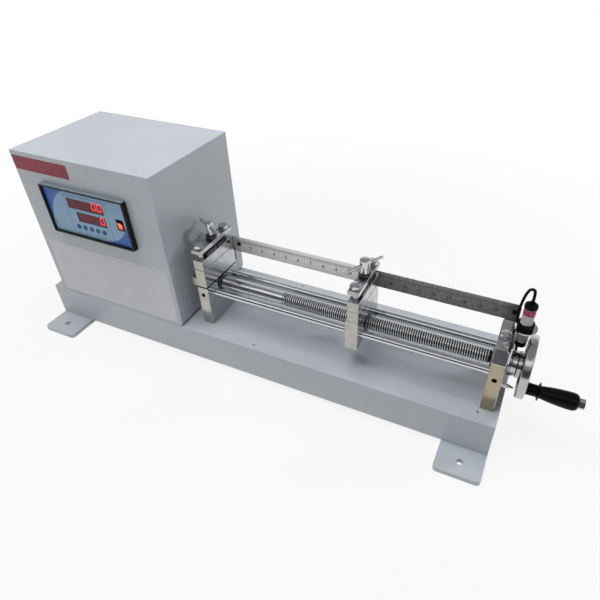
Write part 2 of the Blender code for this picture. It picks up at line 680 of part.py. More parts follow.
def make_guide_rods(steel):
    start = FIXED_POST_LEFT_X + 0.0005
    end = END_POST_RIGHT_X - 0.0005
    chamfer = 0.0008
    for name, side in (("front_guide_rod", -1), ("rear_guide_rod", 1)):
        mesh = bmesh.new()
        profile = (
            (start, 0.0),
            (start, ROD_RADIUS - chamfer),
            (start + chamfer, ROD_RADIUS),
            (end - chamfer, ROD_RADIUS),
            (end, ROD_RADIUS - chamfer),
            (end, 0.0),
        )
        centre = (BED_Y + side * ROD_OFFSET, BED_Z)
        add_turned(mesh, "X", centre, profile, 24)
        piece(name, mesh, ((start + end) / 2, *centre), steel, smooth=True)


def make_lead_screw(steel):
    """Bar with turned journals. Its thread runs from the relief groove to the end post."""
    start = FIXED_POST_LEFT_X + 0.0005
    shoulder = FIXED_POST_RIGHT_X + GAP + 0.0025 + GAP
    end = WHEEL_RIGHT_X - 0.001
    groove = SCREW_RADIUS - 0.0012
    profile = (
        (start, 0.0),
        (start, JOURNAL_RADIUS),
        (shoulder, JOURNAL_RADIUS),
        (shoulder, SCREW_RADIUS - 0.0006),
        (shoulder + 0.0006, SCREW_RADIUS),
        (THREAD_START_X - 0.0018, SCREW_RADIUS),
        (THREAD_START_X - 0.0014, groove),
        (THREAD_START_X - 0.0004, groove),
        (THREAD_START_X, SCREW_RADIUS),
        (THREAD_END_X, SCREW_RADIUS),
        (THREAD_END_X + 0.001, JOURNAL_RADIUS),
        (end, JOURNAL_RADIUS),
        (end, 0.0),
    )
    mesh = bmesh.new()
    add_turned(mesh, "X", (BED_Y, BED_Z), profile, 32)
    piece("lead_screw", mesh, (0, BED_Y, BED_Z), steel, smooth=True)


def make_carriage(steel, bronze):
    """Block that slides on the guide rods, with a nut on the screw."""
    low_x = CARRIAGE_X - CARRIAGE_WIDTH / 2
    high_x = CARRIAGE_X + CARRIAGE_WIDTH / 2
    low = (low_x, BED_FRONT_Y, CARRIAGE_BOTTOM_Z)
    high = (high_x, BED_FRONT_Y + CARRIAGE_DEPTH, CLAMP_SEAT_Z)
    body = block("carriage_body", low, high, steel, 0.0006)
    nut_bore = SCREW_RADIUS + GAP
    nut_radius = nut_bore + NUT_WALL
    bore(body, "X", (BED_Y, BED_Z), nut_radius + GAP, low_x - 0.01, high_x + 0.01)
    for side in (-1, 1):
        bore(body, "X", (BED_Y + side * ROD_OFFSET, BED_Z), ROD_RADIUS + GAP, low_x - 0.01, high_x + 0.01)
    start, end = low_x - 0.001, high_x + 0.001
    profile = ((start, nut_bore), (start, nut_radius), (end, nut_radius), (end, nut_bore))
    nut = bmesh.new()
    add_turned(nut, "X", (BED_Y, BED_Z), profile, 28, ring=True)
    piece("lead_nut", nut, (CARRIAGE_X, BED_Y, BED_Z), bronze, smooth=True)
    for side in (-1, 1):
        bolt_hole(body, MOVING_CLAMP_X, side, CLAMP_SEAT_Z - 0.009)


def bolt_hole(item, centre_x, side, low, high=0.3):
    bore(item, "Z", (centre_x, BED_Y + side * BOLT_OFFSET), BOLT_BORE, low, high, 16)


def make_fixed_seat(steel):
    """L-shaped seat on the fixed post: a wide plate with a riser over the post."""
    right = FIXED_CLAMP_X + CLAMP_WIDTH / 2
    left = right - CLAMP_PLATE_WIDTH
    riser_left = right - CLAMP_WIDTH
    bottom = CLAMP_SEAT_Z - CLAMP_PLATE_HEIGHT
    plate_top = CLAMP_SEAT_Z
    outline = (
        (left, bottom),
        (right, bottom),
        (right, RISER_TOP_Z),
        (riser_left, RISER_TOP_Z),
        (riser_left, plate_top),
        (left, plate_top),
    )
    mesh = bmesh.new()
    add_prism(mesh, "Y", outline, BED_FRONT_Y, BED_BACK_Y)
    seat = piece("fixed_clamp_seat", mesh, (FIXED_CLAMP_X, BED_Y, CLAMP_SEAT_Z), steel)
    soften(seat, 0.0006)
    for side in (-1, 1):
        bolt_hole(seat, FIXED_CLAMP_X, side, CLAMP_SEAT_Z - 0.009)


def make_riser(steel):
    depth = CARRIAGE_DEPTH
    low = (MOVING_CLAMP_X - CLAMP_WIDTH / 2, BED_FRONT_Y, CLAMP_SEAT_Z + GAP)
    high = (MOVING_CLAMP_X + CLAMP_WIDTH / 2, BED_FRONT_Y + depth, RISER_TOP_Z)
    riser = block("moving_clamp_riser", low, high, steel, 0.0006)
    for side in (-1, 1):
        bolt_hole(riser, MOVING_CLAMP_X, side, CLAMP_SEAT_Z - 0.01)


def make_clamp(prefix, centre_x, depth, head_radius, bar_angle, steel, dark, chrome, black):
    """Clamp: lower jaw, lifting upper jaw between two bolts, bridge, and T screw with its bar."""
    left, right = centre_x - CLAMP_WIDTH / 2, centre_x + CLAMP_WIDTH / 2
    back = BED_FRONT_Y + depth
    jaw = block(prefix + "_lower_jaw", (left, BED_FRONT_Y, LOWER_JAW_Z), (right, back, JAW_LINE_Z), steel, 0.0006)
    bridge_low = (left, BED_FRONT_Y, BRIDGE_Z)
    bridge = block(prefix + "_bridge", bridge_low, (right, back, BRIDGE_TOP_Z), steel, 0.0006)
    for side in (-1, 1):
        bolt_hole(jaw, centre_x, side, LOWER_JAW_Z - 0.01)
        bolt_hole(bridge, centre_x, side, BRIDGE_Z - 0.01)
    screw_bore = CLAMP_SCREW_RADIUS + GAP
    bore(bridge, "Z", (centre_x, BED_Y), screw_bore, BRIDGE_Z - 0.01, BRIDGE_TOP_Z + 0.01, 20)

    reach = BOLT_OFFSET - BOLT_RADIUS - 0.0015
    notch = 0.0022
    halves = bmesh.new()
    outline = (
        (left, BED_Y - reach),
        (right, BED_Y - reach),
        (right, BED_Y - notch),
        (right - notch, BED_Y - notch),
        (right - notch, BED_Y + notch),
        (right, BED_Y + notch),
        (right, BED_Y + reach),
        (left, BED_Y + reach),
        (left, BED_Y + notch),
        (left + notch, BED_Y + notch),
        (left + notch, BED_Y - notch),
        (left, BED_Y - notch),
    )
    add_prism(halves, "Z", outline, UPPER_JAW_Z, UPPER_JAW_TOP_Z)
    upper = piece(prefix + "_upper_jaw", halves, (centre_x, BED_Y, UPPER_JAW_Z), dark)
    foot_radius = CLAMP_SCREW_RADIUS - 0.001
    foot_z = UPPER_JAW_TOP_Z - 0.003
    bore(upper, "Z", (centre_x, BED_Y), foot_radius + GAP, foot_z - GAP, UPPER_JAW_TOP_Z + 0.01, 20)

    for place, side in (("_front_bolt", -1), ("_rear_bolt", 1)):
        bolt_y = BED_Y + side * BOLT_OFFSET
        bolt = bmesh.new()
        add_hex_bolt(bolt, (centre_x, bolt_y))
        piece(prefix + place, bolt, (centre_x, bolt_y, BRIDGE_TOP_Z), chrome, smooth=True)

    nut = bmesh.new()
    start = BRIDGE_TOP_Z + GAP
    profile = (
        (start, screw_bore),
        (start, LOCK_NUT_RADIUS),
        (LOCK_NUT_TOP_Z - 0.001, LOCK_NUT_RADIUS),
        (LOCK_NUT_TOP_Z, LOCK_NUT_RADIUS - 0.001),
        (LOCK_NUT_TOP_Z, screw_bore),
    )
    add_turned(nut, "Z", (centre_x, BED_Y), profile, 24, ring=True)
    piece(prefix + "_lock_nut", nut, (centre_x, BED_Y, start), black, smooth=True)

    screw = bmesh.new()
    profile = (
        (foot_z, 0.0),
        (foot_z, foot_radius),
        (UPPER_JAW_TOP_Z + 0.001, foot_radius),
        (UPPER_JAW_TOP_Z + 0.002, CLAMP_SCREW_RADIUS),
        (CLAMP_HEAD_Z, CLAMP_SCREW_RADIUS),
        (CLAMP_HEAD_Z, head_radius - 0.001),
        (CLAMP_HEAD_Z + 0.001, head_radius),
        (CLAMP_HEAD_TOP_Z - 0.0008, head_radius),
        (CLAMP_HEAD_TOP_Z, head_radius - 0.0008),
        (CLAMP_HEAD_TOP_Z, 0.0),
    )
    add_turned(screw, "Z", (centre_x, BED_Y), profile, 24)
    shaft = piece(prefix + "_clamp_screw", screw, (centre_x, BED_Y, CLAMP_HEAD_Z), chrome, smooth=True)
    hole = bmesh.new()
    add_bar(hole, TOMMY_RADIUS + GAP, head_radius * 4, 0.0)
    turn_about(hole, bar_angle, (centre_x, BED_Y, TOMMY_Z))
    cut(shaft, hole)
    bar = bmesh.new()
    add_bar(bar, TOMMY_RADIUS, TOMMY_LENGTH, 0.001)
    turn_about(bar, bar_angle, (centre_x, BED_Y, TOMMY_Z))
    piece(prefix + "_tommy_bar", bar, (centre_x, BED_Y, TOMMY_Z), chrome, smooth=True)


def add_bar(mesh, radius, length, chamfer):
    """A round bar along X about the origin."""
    half = length / 2
    profile = [(-half, 0.0), (-half, radius - chamfer)]
    if chamfer:
        profile += [(-half + chamfer, radius), (half - chamfer, radius)]
    profile += [(half, radius - chamfer), (half, 0.0)]
    add_turned(mesh, "X", (0.0, 0.0), profile, 16)


def turn_about(mesh, angle, place):
    """Turn a mesh about Z at the origin, then carry it to its place."""
    bmesh.ops.rotate(mesh, verts=mesh.verts, cent=(0, 0, 0), matrix=Matrix.Rotation(angle, 3, "Z"))
    bmesh.ops.translate(mesh, verts=mesh.verts, vec=place)


def add_hex_bolt(mesh, centre):
    """Hex bolt from the clamp's seat up through the bridge."""
    head_z = BRIDGE_TOP_Z + GAP
    top_z = head_z + BOLT_HEAD
    tip_z = CLAMP_SEAT_Z - 0.008
    profile = (
        (tip_z, 0.0),
        (tip_z, BOLT_RADIUS),
        (head_z, BOLT_RADIUS),
        (head_z, BOLT_FLAT, 6),
        (top_z - 0.0012, BOLT_FLAT, 6),
        (top_z, BOLT_FLAT * 0.94),
        (top_z, 0.0),
    )
    add_turned(mesh, "Z", centre, profile, 24, turn=math.radians(15))


def make_end_cap(steel, chrome):
    """Block on the end post, chamfered along its outer top edge, with a hex bolt in its top."""
    outline = (
        (END_POST_LEFT_X, END_CAP_Z),
        (END_POST_RIGHT_X, END_CAP_Z),
        (END_POST_RIGHT_X, END_CAP_TOP_Z - END_CAP_CHAMFER),
        (END_POST_RIGHT_X - END_CAP_CHAMFER, END_CAP_TOP_Z),
        (END_POST_LEFT_X, END_CAP_TOP_Z),
    )
    mesh = bmesh.new()
    add_prism(mesh, "Y", outline, BED_FRONT_Y, BED_FRONT_Y + END_CAP_DEPTH)
    cap = piece("end_post_cap", mesh, (END_POST_X, BED_FRONT_Y, END_CAP_Z), steel)
    soften(cap, 0.0008)
    centre = (END_POST_X - CAP_BOLT_SHIFT, BED_FRONT_Y + CAP_BOLT_INSET)
    tip_z = END_CAP_TOP_Z - CAP_BOLT_REACH
    bore(cap, "Z", centre, BOLT_BORE, tip_z - GAP, END_CAP_TOP_Z + 0.01, 16)
    head_z = END_CAP_TOP_Z + GAP
    top_z = head_z + BOLT_HEAD
    profile = (
        (tip_z, 0.0),
        (tip_z, BOLT_RADIUS),
        (head_z, BOLT_RADIUS),
        (head_z, CAP_BOLT_FLAT, 6),
        (top_z - 0.0012, CAP_BOLT_FLAT, 6),
        (top_z, CAP_BOLT_FLAT * 0.94),
        (top_z, 0.0),
    )
    bolt = bmesh.new()
    add_turned(bolt, "Z", centre, profile, 24, turn=math.radians(35))
    piece("cap_bolt", bolt, (*centre, END_CAP_TOP_Z), chrome, smooth=True)


def make_rule(steel, dark):
    """Thin rule on two straps behind the clamps, with a screw hole at each end."""
    middle = ((RULE_LEFT_X + RULE_RIGHT_X) / 2, RULE_BOTTOM_Z + RULE_HEIGHT / 2)
    size = (RULE_RIGHT_X - RULE_LEFT_X, RULE_HEIGHT)
    mesh = bmesh.new()
    add_prism(mesh, "Y", rounded(middle, size, [RULE_CORNER] * 4), RULE_FRONT_Y, RULE_BACK_Y)
    rule = piece("steel_rule", mesh, (middle[0], RULE_FRONT_Y, middle[1]), steel)
    strap_back = RULE_BACK_Y + GAP + RULE_STRAP_THICKNESS
    strap_top = RULE_BOTTOM_Z + RULE_HEIGHT * 0.88
    left_span = (FIXED_POST_LEFT_X + 0.001, RULE_LEFT_X + RULE_HOLE_INSET * 1.5)
    right_span = (END_POST_LEFT_X + 0.001, END_POST_RIGHT_X - 0.001)
    foot_left = CLAMP_SEAT_Z - CLAMP_PLATE_HEIGHT + 0.001
    places = (
        ("fixed_rule_strap", left_span, foot_left, RULE_LEFT_X + RULE_HOLE_INSET, FIXED_POST_RIGHT_X - 0.001),
        ("end_rule_strap", right_span, RULE_STRAP_FOOT_Z, RULE_RIGHT_X - 1.4 * RULE_HOLE_INSET, right_span[1]),
    )
    for name, span, foot_z, screw_x, foot_right in places:
        outline = (
            (BED_BACK_Y + GAP, foot_z),
            (BED_BACK_Y + GAP, RULE_BOTTOM_Z - GAP),
            (RULE_BACK_Y + GAP, RULE_BOTTOM_Z - GAP),
            (RULE_BACK_Y + GAP, strap_top),
            (strap_back, strap_top),
            (strap_back, foot_z),
        )
        flat = bmesh.new()
        add_prism(flat, "X", outline, *span)
        strap = piece(name, flat, ((span[0] + span[1]) / 2, RULE_BACK_Y, RULE_BOTTOM_Z), dark)
        if foot_right < span[1]:
            pocket(strap, (foot_right, BED_BACK_Y - 0.01, foot_z - 0.01), (span[1] + 0.01, strap_back + 0.01, RULE_BOTTOM_Z))
        for held in (rule, strap):
            bore(held, "Y", (screw_x, RULE_SCREW_Z), RULE_SCREW_RADIUS, BED_BACK_Y - 0.02, strap_back + 0.02, 16)


def make_handwheel(bright, black, chrome):
    """Hub collar, dished wheel, and a handle that turns on its spindle."""
    bore_radius = JOURNAL_RADIUS + GAP
    centre = (BED_Y, BED_Z)
    collar = bmesh.new()
    profile = (
        (HUB_LEFT_X, bore_radius),
        (HUB_LEFT_X, HUB_RADIUS - 0.001),
        (HUB_LEFT_X + 0.001, HUB_RADIUS),
        (HUB_RIGHT_X - 0.0005, HUB_RADIUS),
        (HUB_RIGHT_X, HUB_RADIUS - 0.0005),
        (HUB_RIGHT_X, bore_radius),
    )
    add_turned(collar, "X", centre, profile, 32, ring=True)
    piece("hub_collar", collar, (HUB_LEFT_X, *centre), bright, smooth=True)

    rim_inner = WHEEL_RADIUS - WHEEL_RIM_DEPTH
    web_left = WHEEL_LEFT_X + (WHEEL_RIM_WIDTH - WHEEL_WEB) / 2
    web_right = web_left + WHEEL_WEB
    hub_outer = WHEEL_BOSS_RADIUS * 0.62
    round_off = 0.002
    profile = (
        (WHEEL_BOSS_X, bore_radius),
        (WHEEL_BOSS_X, WHEEL_BOSS_RADIUS - 0.001),
        (WHEEL_BOSS_X + 0.001, WHEEL_BOSS_RADIUS),
        (web_left, WHEEL_BOSS_RADIUS),
        (web_left, rim_inner - 0.002),
        (WHEEL_LEFT_X, rim_inner),
        (WHEEL_LEFT_X, WHEEL_RADIUS - round_off),
        (WHEEL_LEFT_X + round_off * 0.3, WHEEL_RADIUS - round_off * 0.3),
        (WHEEL_LEFT_X + round_off, WHEEL_RADIUS),
        (WHEEL_RIGHT_X - round_off, WHEEL_RADIUS),
        (WHEEL_RIGHT_X - round_off * 0.3, WHEEL_RADIUS - round_off * 0.3),
        (WHEEL_RIGHT_X, WHEEL_RADIUS - round_off),
        (WHEEL_RIGHT_X, rim_inner),
        (web_right, rim_inner - 0.002),
        (web_right, hub_outer),
        (WHEEL_RIGHT_X, hub_outer - 0.001),
        (WHEEL_RIGHT_X, bore_radius),
    )
    wheel = bmesh.new()
    add_turned(wheel, "X", centre, profile, 40, ring=True)
    disc = piece("handwheel", wheel, (WHEEL_LEFT_X, *centre), bright, smooth=True)
    handle = (HANDLE_Y, HANDLE_Z)
    boss = bmesh.new()
    seat = GRIP_NECK_RADIUS * 0.8
    add_prism(boss, "X", circle(handle, seat, 20), web_left + 0.001, WHEEL_RIGHT_X)
    join(disc, boss)
    bore(disc, "X", handle, SPINDLE_RADIUS + GAP, web_left - 0.01, WHEEL_RIGHT_X + 0.01, 16)

    profile = (
        (web_left, 0.0),
        (web_left, SPINDLE_RADIUS),
        (GRIP_HEAD_X, SPINDLE_RADIUS),
        (GRIP_HEAD_X, GRIP_HEAD_FLAT, 6),
        (GRIP_HEAD_END_X - 0.001, GRIP_HEAD_FLAT, 6),
        (GRIP_HEAD_END_X, GRIP_HEAD_FLAT * 0.92),
        (GRIP_HEAD_END_X, 0.0),
    )
    bolt = bmesh.new()
    add_turned(bolt, "X", handle, profile, 24)
    piece("handle_bolt", bolt, (web_left, *handle), chrome, smooth=True)

    inner = SPINDLE_RADIUS + GAP
    ring_x = GRIP_LEFT_X + GRIP_LENGTH * 0.25
    wide_x = GRIP_LEFT_X + GRIP_LENGTH * 0.93
    profile = (
        (GRIP_LEFT_X, inner),
        (GRIP_LEFT_X, GRIP_NECK_RADIUS - 0.0012),
        (GRIP_LEFT_X + 0.0012, GRIP_NECK_RADIUS),
        (ring_x - 0.0040, GRIP_NECK_RADIUS * 0.94),
        (ring_x - 0.0012, GRIP_RING_RADIUS * 0.86),
        (ring_x, GRIP_RING_RADIUS),
        (ring_x + 0.0012, GRIP_RING_RADIUS * 0.86),
        (ring_x + 0.0040, GRIP_NECK_RADIUS * 0.98),
        (ring_x + GRIP_LENGTH * 0.3, GRIP_END_RADIUS * 0.87),
        (wide_x - GRIP_LENGTH * 0.08, GRIP_END_RADIUS),
        (wide_x, GRIP_END_RADIUS * 0.96),
        (wide_x + GRIP_LENGTH * 0.04, GRIP_END_RADIUS * 0.80),
        (GRIP_RIGHT_X, GRIP_END_RADIUS * 0.52),
        (GRIP_RIGHT_X, inner),
    )
    grip = bmesh.new()
    add_turned(grip, "X", handle, profile, 28, ring=True)
    piece("handle_grip", grip, (GRIP_LEFT_X, *handle), black, smooth=True)


def make_sensor_bracket(bright):
    """Leg on the end cap's side and a ring that the sensor's nuts grip."""
    leg_left = END_POST_RIGHT_X + GAP
    top = SENSOR_BRACKET_Z + SENSOR_BRACKET_SHEET
    leg_back = SENSOR_Y - SENSOR_NUT_FLAT - 0.003
    low = (leg_left, BED_FRONT_Y + 0.003, END_CAP_Z + 0.004)
    leg = block("sensor_bracket", low, (leg_left + SENSOR_BRACKET_SHEET, leg_back, top), bright)
    ring = bmesh.new()
    disc = circle((SENSOR_X, SENSOR_Y), SENSOR_RING_RADIUS, 32)
    arm_front = leg_back - SENSOR_RING_RADIUS
    outline = [point for point in disc if point[0] >= SENSOR_X - SENSOR_RING_RADIUS * 0.45]
    outline.sort(key=lambda point: math.atan2(point[1] - SENSOR_Y, point[0] - SENSOR_X))
    outline += [(leg_left, SENSOR_Y + SENSOR_RING_RADIUS * 0.8), (leg_left, arm_front)]
    add_prism(ring, "Z", outline, SENSOR_BRACKET_Z, top)
    join(leg, ring)
    bore(leg, "Z", (SENSOR_X, SENSOR_Y), SENSOR_RADIUS + GAP, SENSOR_BRACKET_Z - 0.01, top + 0.01)


def make_sensor(light, black):
    """Threaded barrel with a tip below, a cap above and two nuts that grip the bracket."""
    centre = (SENSOR_X, SENSOR_Y)
    barrel_low = SENSOR_TIP_Z + SENSOR_TIP_HEIGHT + GAP
    barrel_high = SENSOR_CAP_Z - GAP
    barrel = bmesh.new()
    profile = (
        (barrel_low, 0.0),
        (barrel_low, SENSOR_RADIUS),
        (barrel_high, SENSOR_RADIUS),
        (barrel_high, 0.0),
    )
    add_turned(barrel, "Z", centre, profile, 28)
    piece("sensor_barrel", barrel, (*centre, barrel_low), light, smooth=True)

    tip = bmesh.new()
    tip_top = SENSOR_TIP_Z + SENSOR_TIP_HEIGHT
    profile = (
        (SENSOR_TIP_Z, 0.0),
        (SENSOR_TIP_Z, SENSOR_RADIUS - 0.0016),
        (SENSOR_TIP_Z + 0.0010, SENSOR_RADIUS - 0.0006),
        (tip_top, SENSOR_RADIUS - 0.0006),
        (tip_top, 0.0),
    )
    add_turned(tip, "Z", centre, profile, 28)
    piece("sensor_tip", tip, (*centre, SENSOR_TIP_Z), black, smooth=True)

    cap = bmesh.new()
    cap_top = SENSOR_CAP_Z + SENSOR_CAP_HEIGHT
    profile = (
        (SENSOR_CAP_Z, 0.0),
        (SENSOR_CAP_Z, SENSOR_CAP_RADIUS),
        (cap_top - 0.0020, SENSOR_CAP_RADIUS),
        (cap_top, SENSOR_CAP_RADIUS - 0.0020),
        (cap_top, 0.0),
    )
    add_turned(cap, "Z", centre, profile, 28)
    lid = piece("sensor_cap", cap, (*centre, SENSOR_CAP_Z), black, smooth=True)
    boot = bmesh.new()
    boot_x, boot_y, boot_top = CABLE_POINTS[0]
    profile = (
        (cap_top - 0.002, 0.0),
        (cap_top - 0.002, CABLE_RADIUS + 0.0020),
        (boot_top - CABLE_END_GAP, CABLE_RADIUS + 0.0006),
        (boot_top - CABLE_END_GAP, 0.0),
    )
    add_turned(boot, "Z", (boot_x, boot_y), profile, 16)
    join(lid, boot)

    inner = SENSOR_RADIUS + GAP
    top = SENSOR_BRACKET_Z + SENSOR_BRACKET_SHEET
    spans = (
        ("sensor_upper_nut", top + GAP, top + GAP + SENSOR_NUT_HEIGHT),
        ("sensor_lower_nut", SENSOR_BRACKET_Z - GAP - SENSOR_LOCK_NUT_HEIGHT, SENSOR_BRACKET_Z - GAP),
    )
    for name, low, high in spans:
        profile = (
            (low, inner),
            (low, SENSOR_NUT_FLAT * 0.95),
            (low + 0.0008, SENSOR_NUT_FLAT, 6),
            (high - 0.0008, SENSOR_NUT_FLAT, 6),
            (high, SENSOR_NUT_FLAT * 0.95),
            (high, inner),
        )
        nut = bmesh.new()
        add_turned(nut, "Z", centre, profile, 24, ring=True, turn=math.radians(30))
        piece(name, nut, (*centre, low), black, smooth=True)


def smooth_route(points, spacing):
    """Even points along a smooth curve through the given ones."""
    points = [Vector(point) for point in points]
    padded = [2 * points[0] - points[1], *points, 2 * points[-1] - points[-2]]
    fine = []
    for index in range(1, len(padded) - 2):
        before, start, end, after = padded[index - 1:index + 3]
        for step in range(24):
            t = step / 24
            bend = 2 * start + (end - before) * t
            bend += (2 * before - 5 * start + 4 * end - after) * t * t
            bend += (3 * start - before - 3 * end + after) * t * t * t
            fine.append(bend / 2)
    fine.append(points[-1])
    travelled = [0.0]
    for start, end in zip(fine, fine[1:]):
        travelled.append(travelled[-1] + (end - start).length)
    count = max(2, round(travelled[-1] / spacing))
    route = []
    place = 0
    for step in range(count + 1):
        target = travelled[-1] * step / count
        while place < len(fine) - 2 and travelled[place + 1] < target:
            place += 1
        share = (target - travelled[place]) / max(travelled[place + 1] - travelled[place], 1e-9)
        route.append(fine[place].lerp(fine[place + 1], share))
    return route


def make_cable(black):
    """Sensor cable from the cap's boot, over and behind the bracket, down to the gland in the base."""
    data = bpy.data.curves.new("sensor_cable", "CURVE")
    data.dimensions = "3D"
    data.bevel_depth = CABLE_RADIUS
    data.bevel_resolution = 2
    data.use_fill_caps = True
    route = smooth_route(CABLE_POINTS, CABLE_RADIUS * 4)
    line = data.splines.new("POLY")
    line.points.add(len(route) - 1)
    for point, place in zip(line.points, route):
        point.co = (*place, 1.0)
    data.materials.append(black)
    cable = bpy.data.objects.new("sensor_cable", data)
    bpy.context.scene.collection.objects.link(cable)


def make_gland(black):
    """Cable gland screwed through the top of the base."""
    top = CABLE_POINTS[-1][2] - CABLE_END_GAP
    seat = BASE_TOP_Z + GAP
    profile = (
        (BASE_TOP_Z - 0.010, 0.0),
        (BASE_TOP_Z - 0.010, GLAND_RADIUS),
        (seat, GLAND_RADIUS),
        (seat, GLAND_RADIUS * 1.35, 6),
        (seat + 0.006, GLAND_RADIUS * 1.35, 6),
        (seat + 0.007, GLAND_RADIUS * 1.15),
        (top - 0.006, GLAND_RADIUS * 1.10),
        (top - 0.001, CABLE_RADIUS + 0.0018),
        (top, CABLE_RADIUS + 0.0010),
        (top, 0.0),
    )
    mesh = bmesh.new()
    add_turned(mesh, "Z", (GLAND_X, GLAND_Y), profile, 24)
    piece("cable_gland", mesh, (GLAND_X, GLAND_Y, seat), black, smooth=True)


def centre_over_origin():
    """Slide every object along X until the origin is under the middle of the whole machine."""
    for item in bpy.data.objects:
        item.location.x -= MACHINE_MIDDLE_X


def main():
    clear_scene()
    paint = finish("grey_paint", (0.36, 0.39, 0.43), 0.45)
    bright = finish("polished_aluminium", (0.62, 0.63, 0.64), 0.22, 1.0)
    steel = finish("ground_steel", (0.55, 0.55, 0.54), 0.28, 1.0)
    dark = finish("dark_steel", (0.10, 0.10, 0.11), 0.45, 0.8)
    chrome = finish("chrome_plate", (0.68, 0.68, 0.68), 0.12, 1.0)
    bronze = finish("bronze", (0.45, 0.30, 0.13), 0.35, 1.0)
    black = finish("black_plastic", (0.015, 0.015, 0.016), 0.35)
    face = finish("counter_face", (0.10, 0.20, 0.38), 0.40)
    smoked = finish("smoked_red_window", (0.06, 0.004, 0.004), 0.12)
    red = finish("red_rocker", (0.70, 0.03, 0.02), 0.30)
    blue = finish("key_blue", (0.02, 0.04, 0.15), 0.40)
    light = finish("sensor_grey", (0.60, 0.61, 0.62), 0.30, 0.6)

    make_base(paint)
    strap_x = BASE_LENGTH / 2 - STRAP_WIDTH / 2
    make_strap("left_foot_strap", -strap_x, paint)
    make_strap("right_foot_strap", strap_x, paint)
    make_cabinet(paint)
    make_rear_cover(paint, black)
    case = make_meter(black, face, smoked)
    make_keys(case, blue)
    make_rocker(case, black, red)

    make_post("fixed_post", FIXED_POST_X, FIXED_POST_HEIGHT, steel)
    make_post("end_post", END_POST_X, END_POST_HEIGHT, steel)
    make_bush("fixed_post_bush", FIXED_POST_X, 1, bronze)
    make_bush("end_post_bush", END_POST_X, -1, bronze)
    make_guide_rods(chrome)
    make_lead_screw(steel)
    make_carriage(steel, bronze)
    make_fixed_seat(steel)
    make_riser(steel)
    finishes = (steel, dark, chrome, black)
    make_clamp("fixed", FIXED_CLAMP_X, POST_DEPTH, FIXED_HEAD_RADIUS, FIXED_TOMMY_ANGLE, *finishes)
    make_clamp("moving", MOVING_CLAMP_X, CARRIAGE_DEPTH, MOVING_HEAD_RADIUS, MOVING_TOMMY_ANGLE, *finishes)
    make_end_cap(steel, chrome)
    make_rule(bright, dark)
    make_handwheel(bright, black, chrome)
    make_sensor_bracket(bright)
    make_sensor(light, black)
    make_cable(black)
    make_gland(black)
    centre_over_origin()


if __name__ == "__main__":
    main()
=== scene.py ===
import math

import bmesh
import bpy
from bpy.props import FloatProperty, FloatVectorProperty, PointerProperty
from mathutils import Matrix, Vector


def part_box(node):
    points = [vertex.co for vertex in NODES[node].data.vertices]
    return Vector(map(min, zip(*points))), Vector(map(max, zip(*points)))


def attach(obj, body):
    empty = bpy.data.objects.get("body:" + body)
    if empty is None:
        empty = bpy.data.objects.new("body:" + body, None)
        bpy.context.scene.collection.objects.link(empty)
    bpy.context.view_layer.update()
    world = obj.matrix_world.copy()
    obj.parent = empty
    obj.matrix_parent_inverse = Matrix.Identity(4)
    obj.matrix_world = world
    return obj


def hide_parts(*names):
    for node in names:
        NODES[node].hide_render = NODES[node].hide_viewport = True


bl_info = {
    "name": "Wire Elongation Tester",
    "version": (1, 0, 0),
    "blender": (4, 5, 0),
    "location": "View3D > Sidebar > Tester",
    "description": "Dresses the solid model of a wire elongation testing machine",
    "category": "Object",
}

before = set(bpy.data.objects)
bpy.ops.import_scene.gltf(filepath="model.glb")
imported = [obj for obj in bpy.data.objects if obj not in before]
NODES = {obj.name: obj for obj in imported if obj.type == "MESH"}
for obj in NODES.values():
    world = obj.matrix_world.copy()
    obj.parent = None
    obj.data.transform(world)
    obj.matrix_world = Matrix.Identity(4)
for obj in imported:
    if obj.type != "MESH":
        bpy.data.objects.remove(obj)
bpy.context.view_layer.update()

# How far films, marks and figures stand off the face under them.
SKIN = 0.00008
# How far a shank runs into its head.
INTO_HEAD = 0.0002
SHARP_ANGLE = math.radians(32)
SAME_POINT = 0.000005
SAME_PLANE = math.radians(1)

# Parts of which more than one piece is made.
M10_RADIUS = 0.005
M10_HEAD = 0.0068
BAR_RADIUS = 0.003
WHEEL_BORE = 0.0083
GRUB_HOLE_RADIUS = 0.0042
GRUB_HOLE_DEPTH = 0.0042

# The view, and the strength of the even light that falls on the object.
CAMERA_PLACE = Vector((0.386512, -0.677047, 0.728306))
CAMERA_AZIMUTH = math.radians(25.419)
CAMERA_PITCH = math.radians(38.589)
CAMERA_ROLL = math.radians(-1.025)
CAMERA_LENS = 30.931
CAMERA_SHIFT = (-0.0400, 0.0101)
PLAIN_LIGHT = 0.155


# Values on a surface


class Signal:
    """A value that varies over a surface: the output of a shader node, with ordinary arithmetic."""

    def __init__(self, graph, socket):
        self.graph = graph
        self.socket = socket

    def __neg__(self):
        return self.graph.maths("SUBTRACT", 0.0, self)

    def __add__(self, other):
        return self.graph.maths("ADD", self, other)

    def __radd__(self, other):
        return self.graph.maths("ADD", other, self)

    def __sub__(self, other):
        return self.graph.maths("SUBTRACT", self, other)

    def __rsub__(self, other):
        return self.graph.maths("SUBTRACT", other, self)

    def __mul__(self, other):
        return self.graph.maths("MULTIPLY", self, other)

    def __rmul__(self, other):
        return self.graph.maths("MULTIPLY", other, self)

    def between(self, low, high):
        """Zero below low, one above high and a smooth step between them."""
        settings = {"interpolation_type": "SMOOTHSTEP"}
        return self.graph.node("ShaderNodeMapRange", settings, self, low, high, 0.0, 1.0)


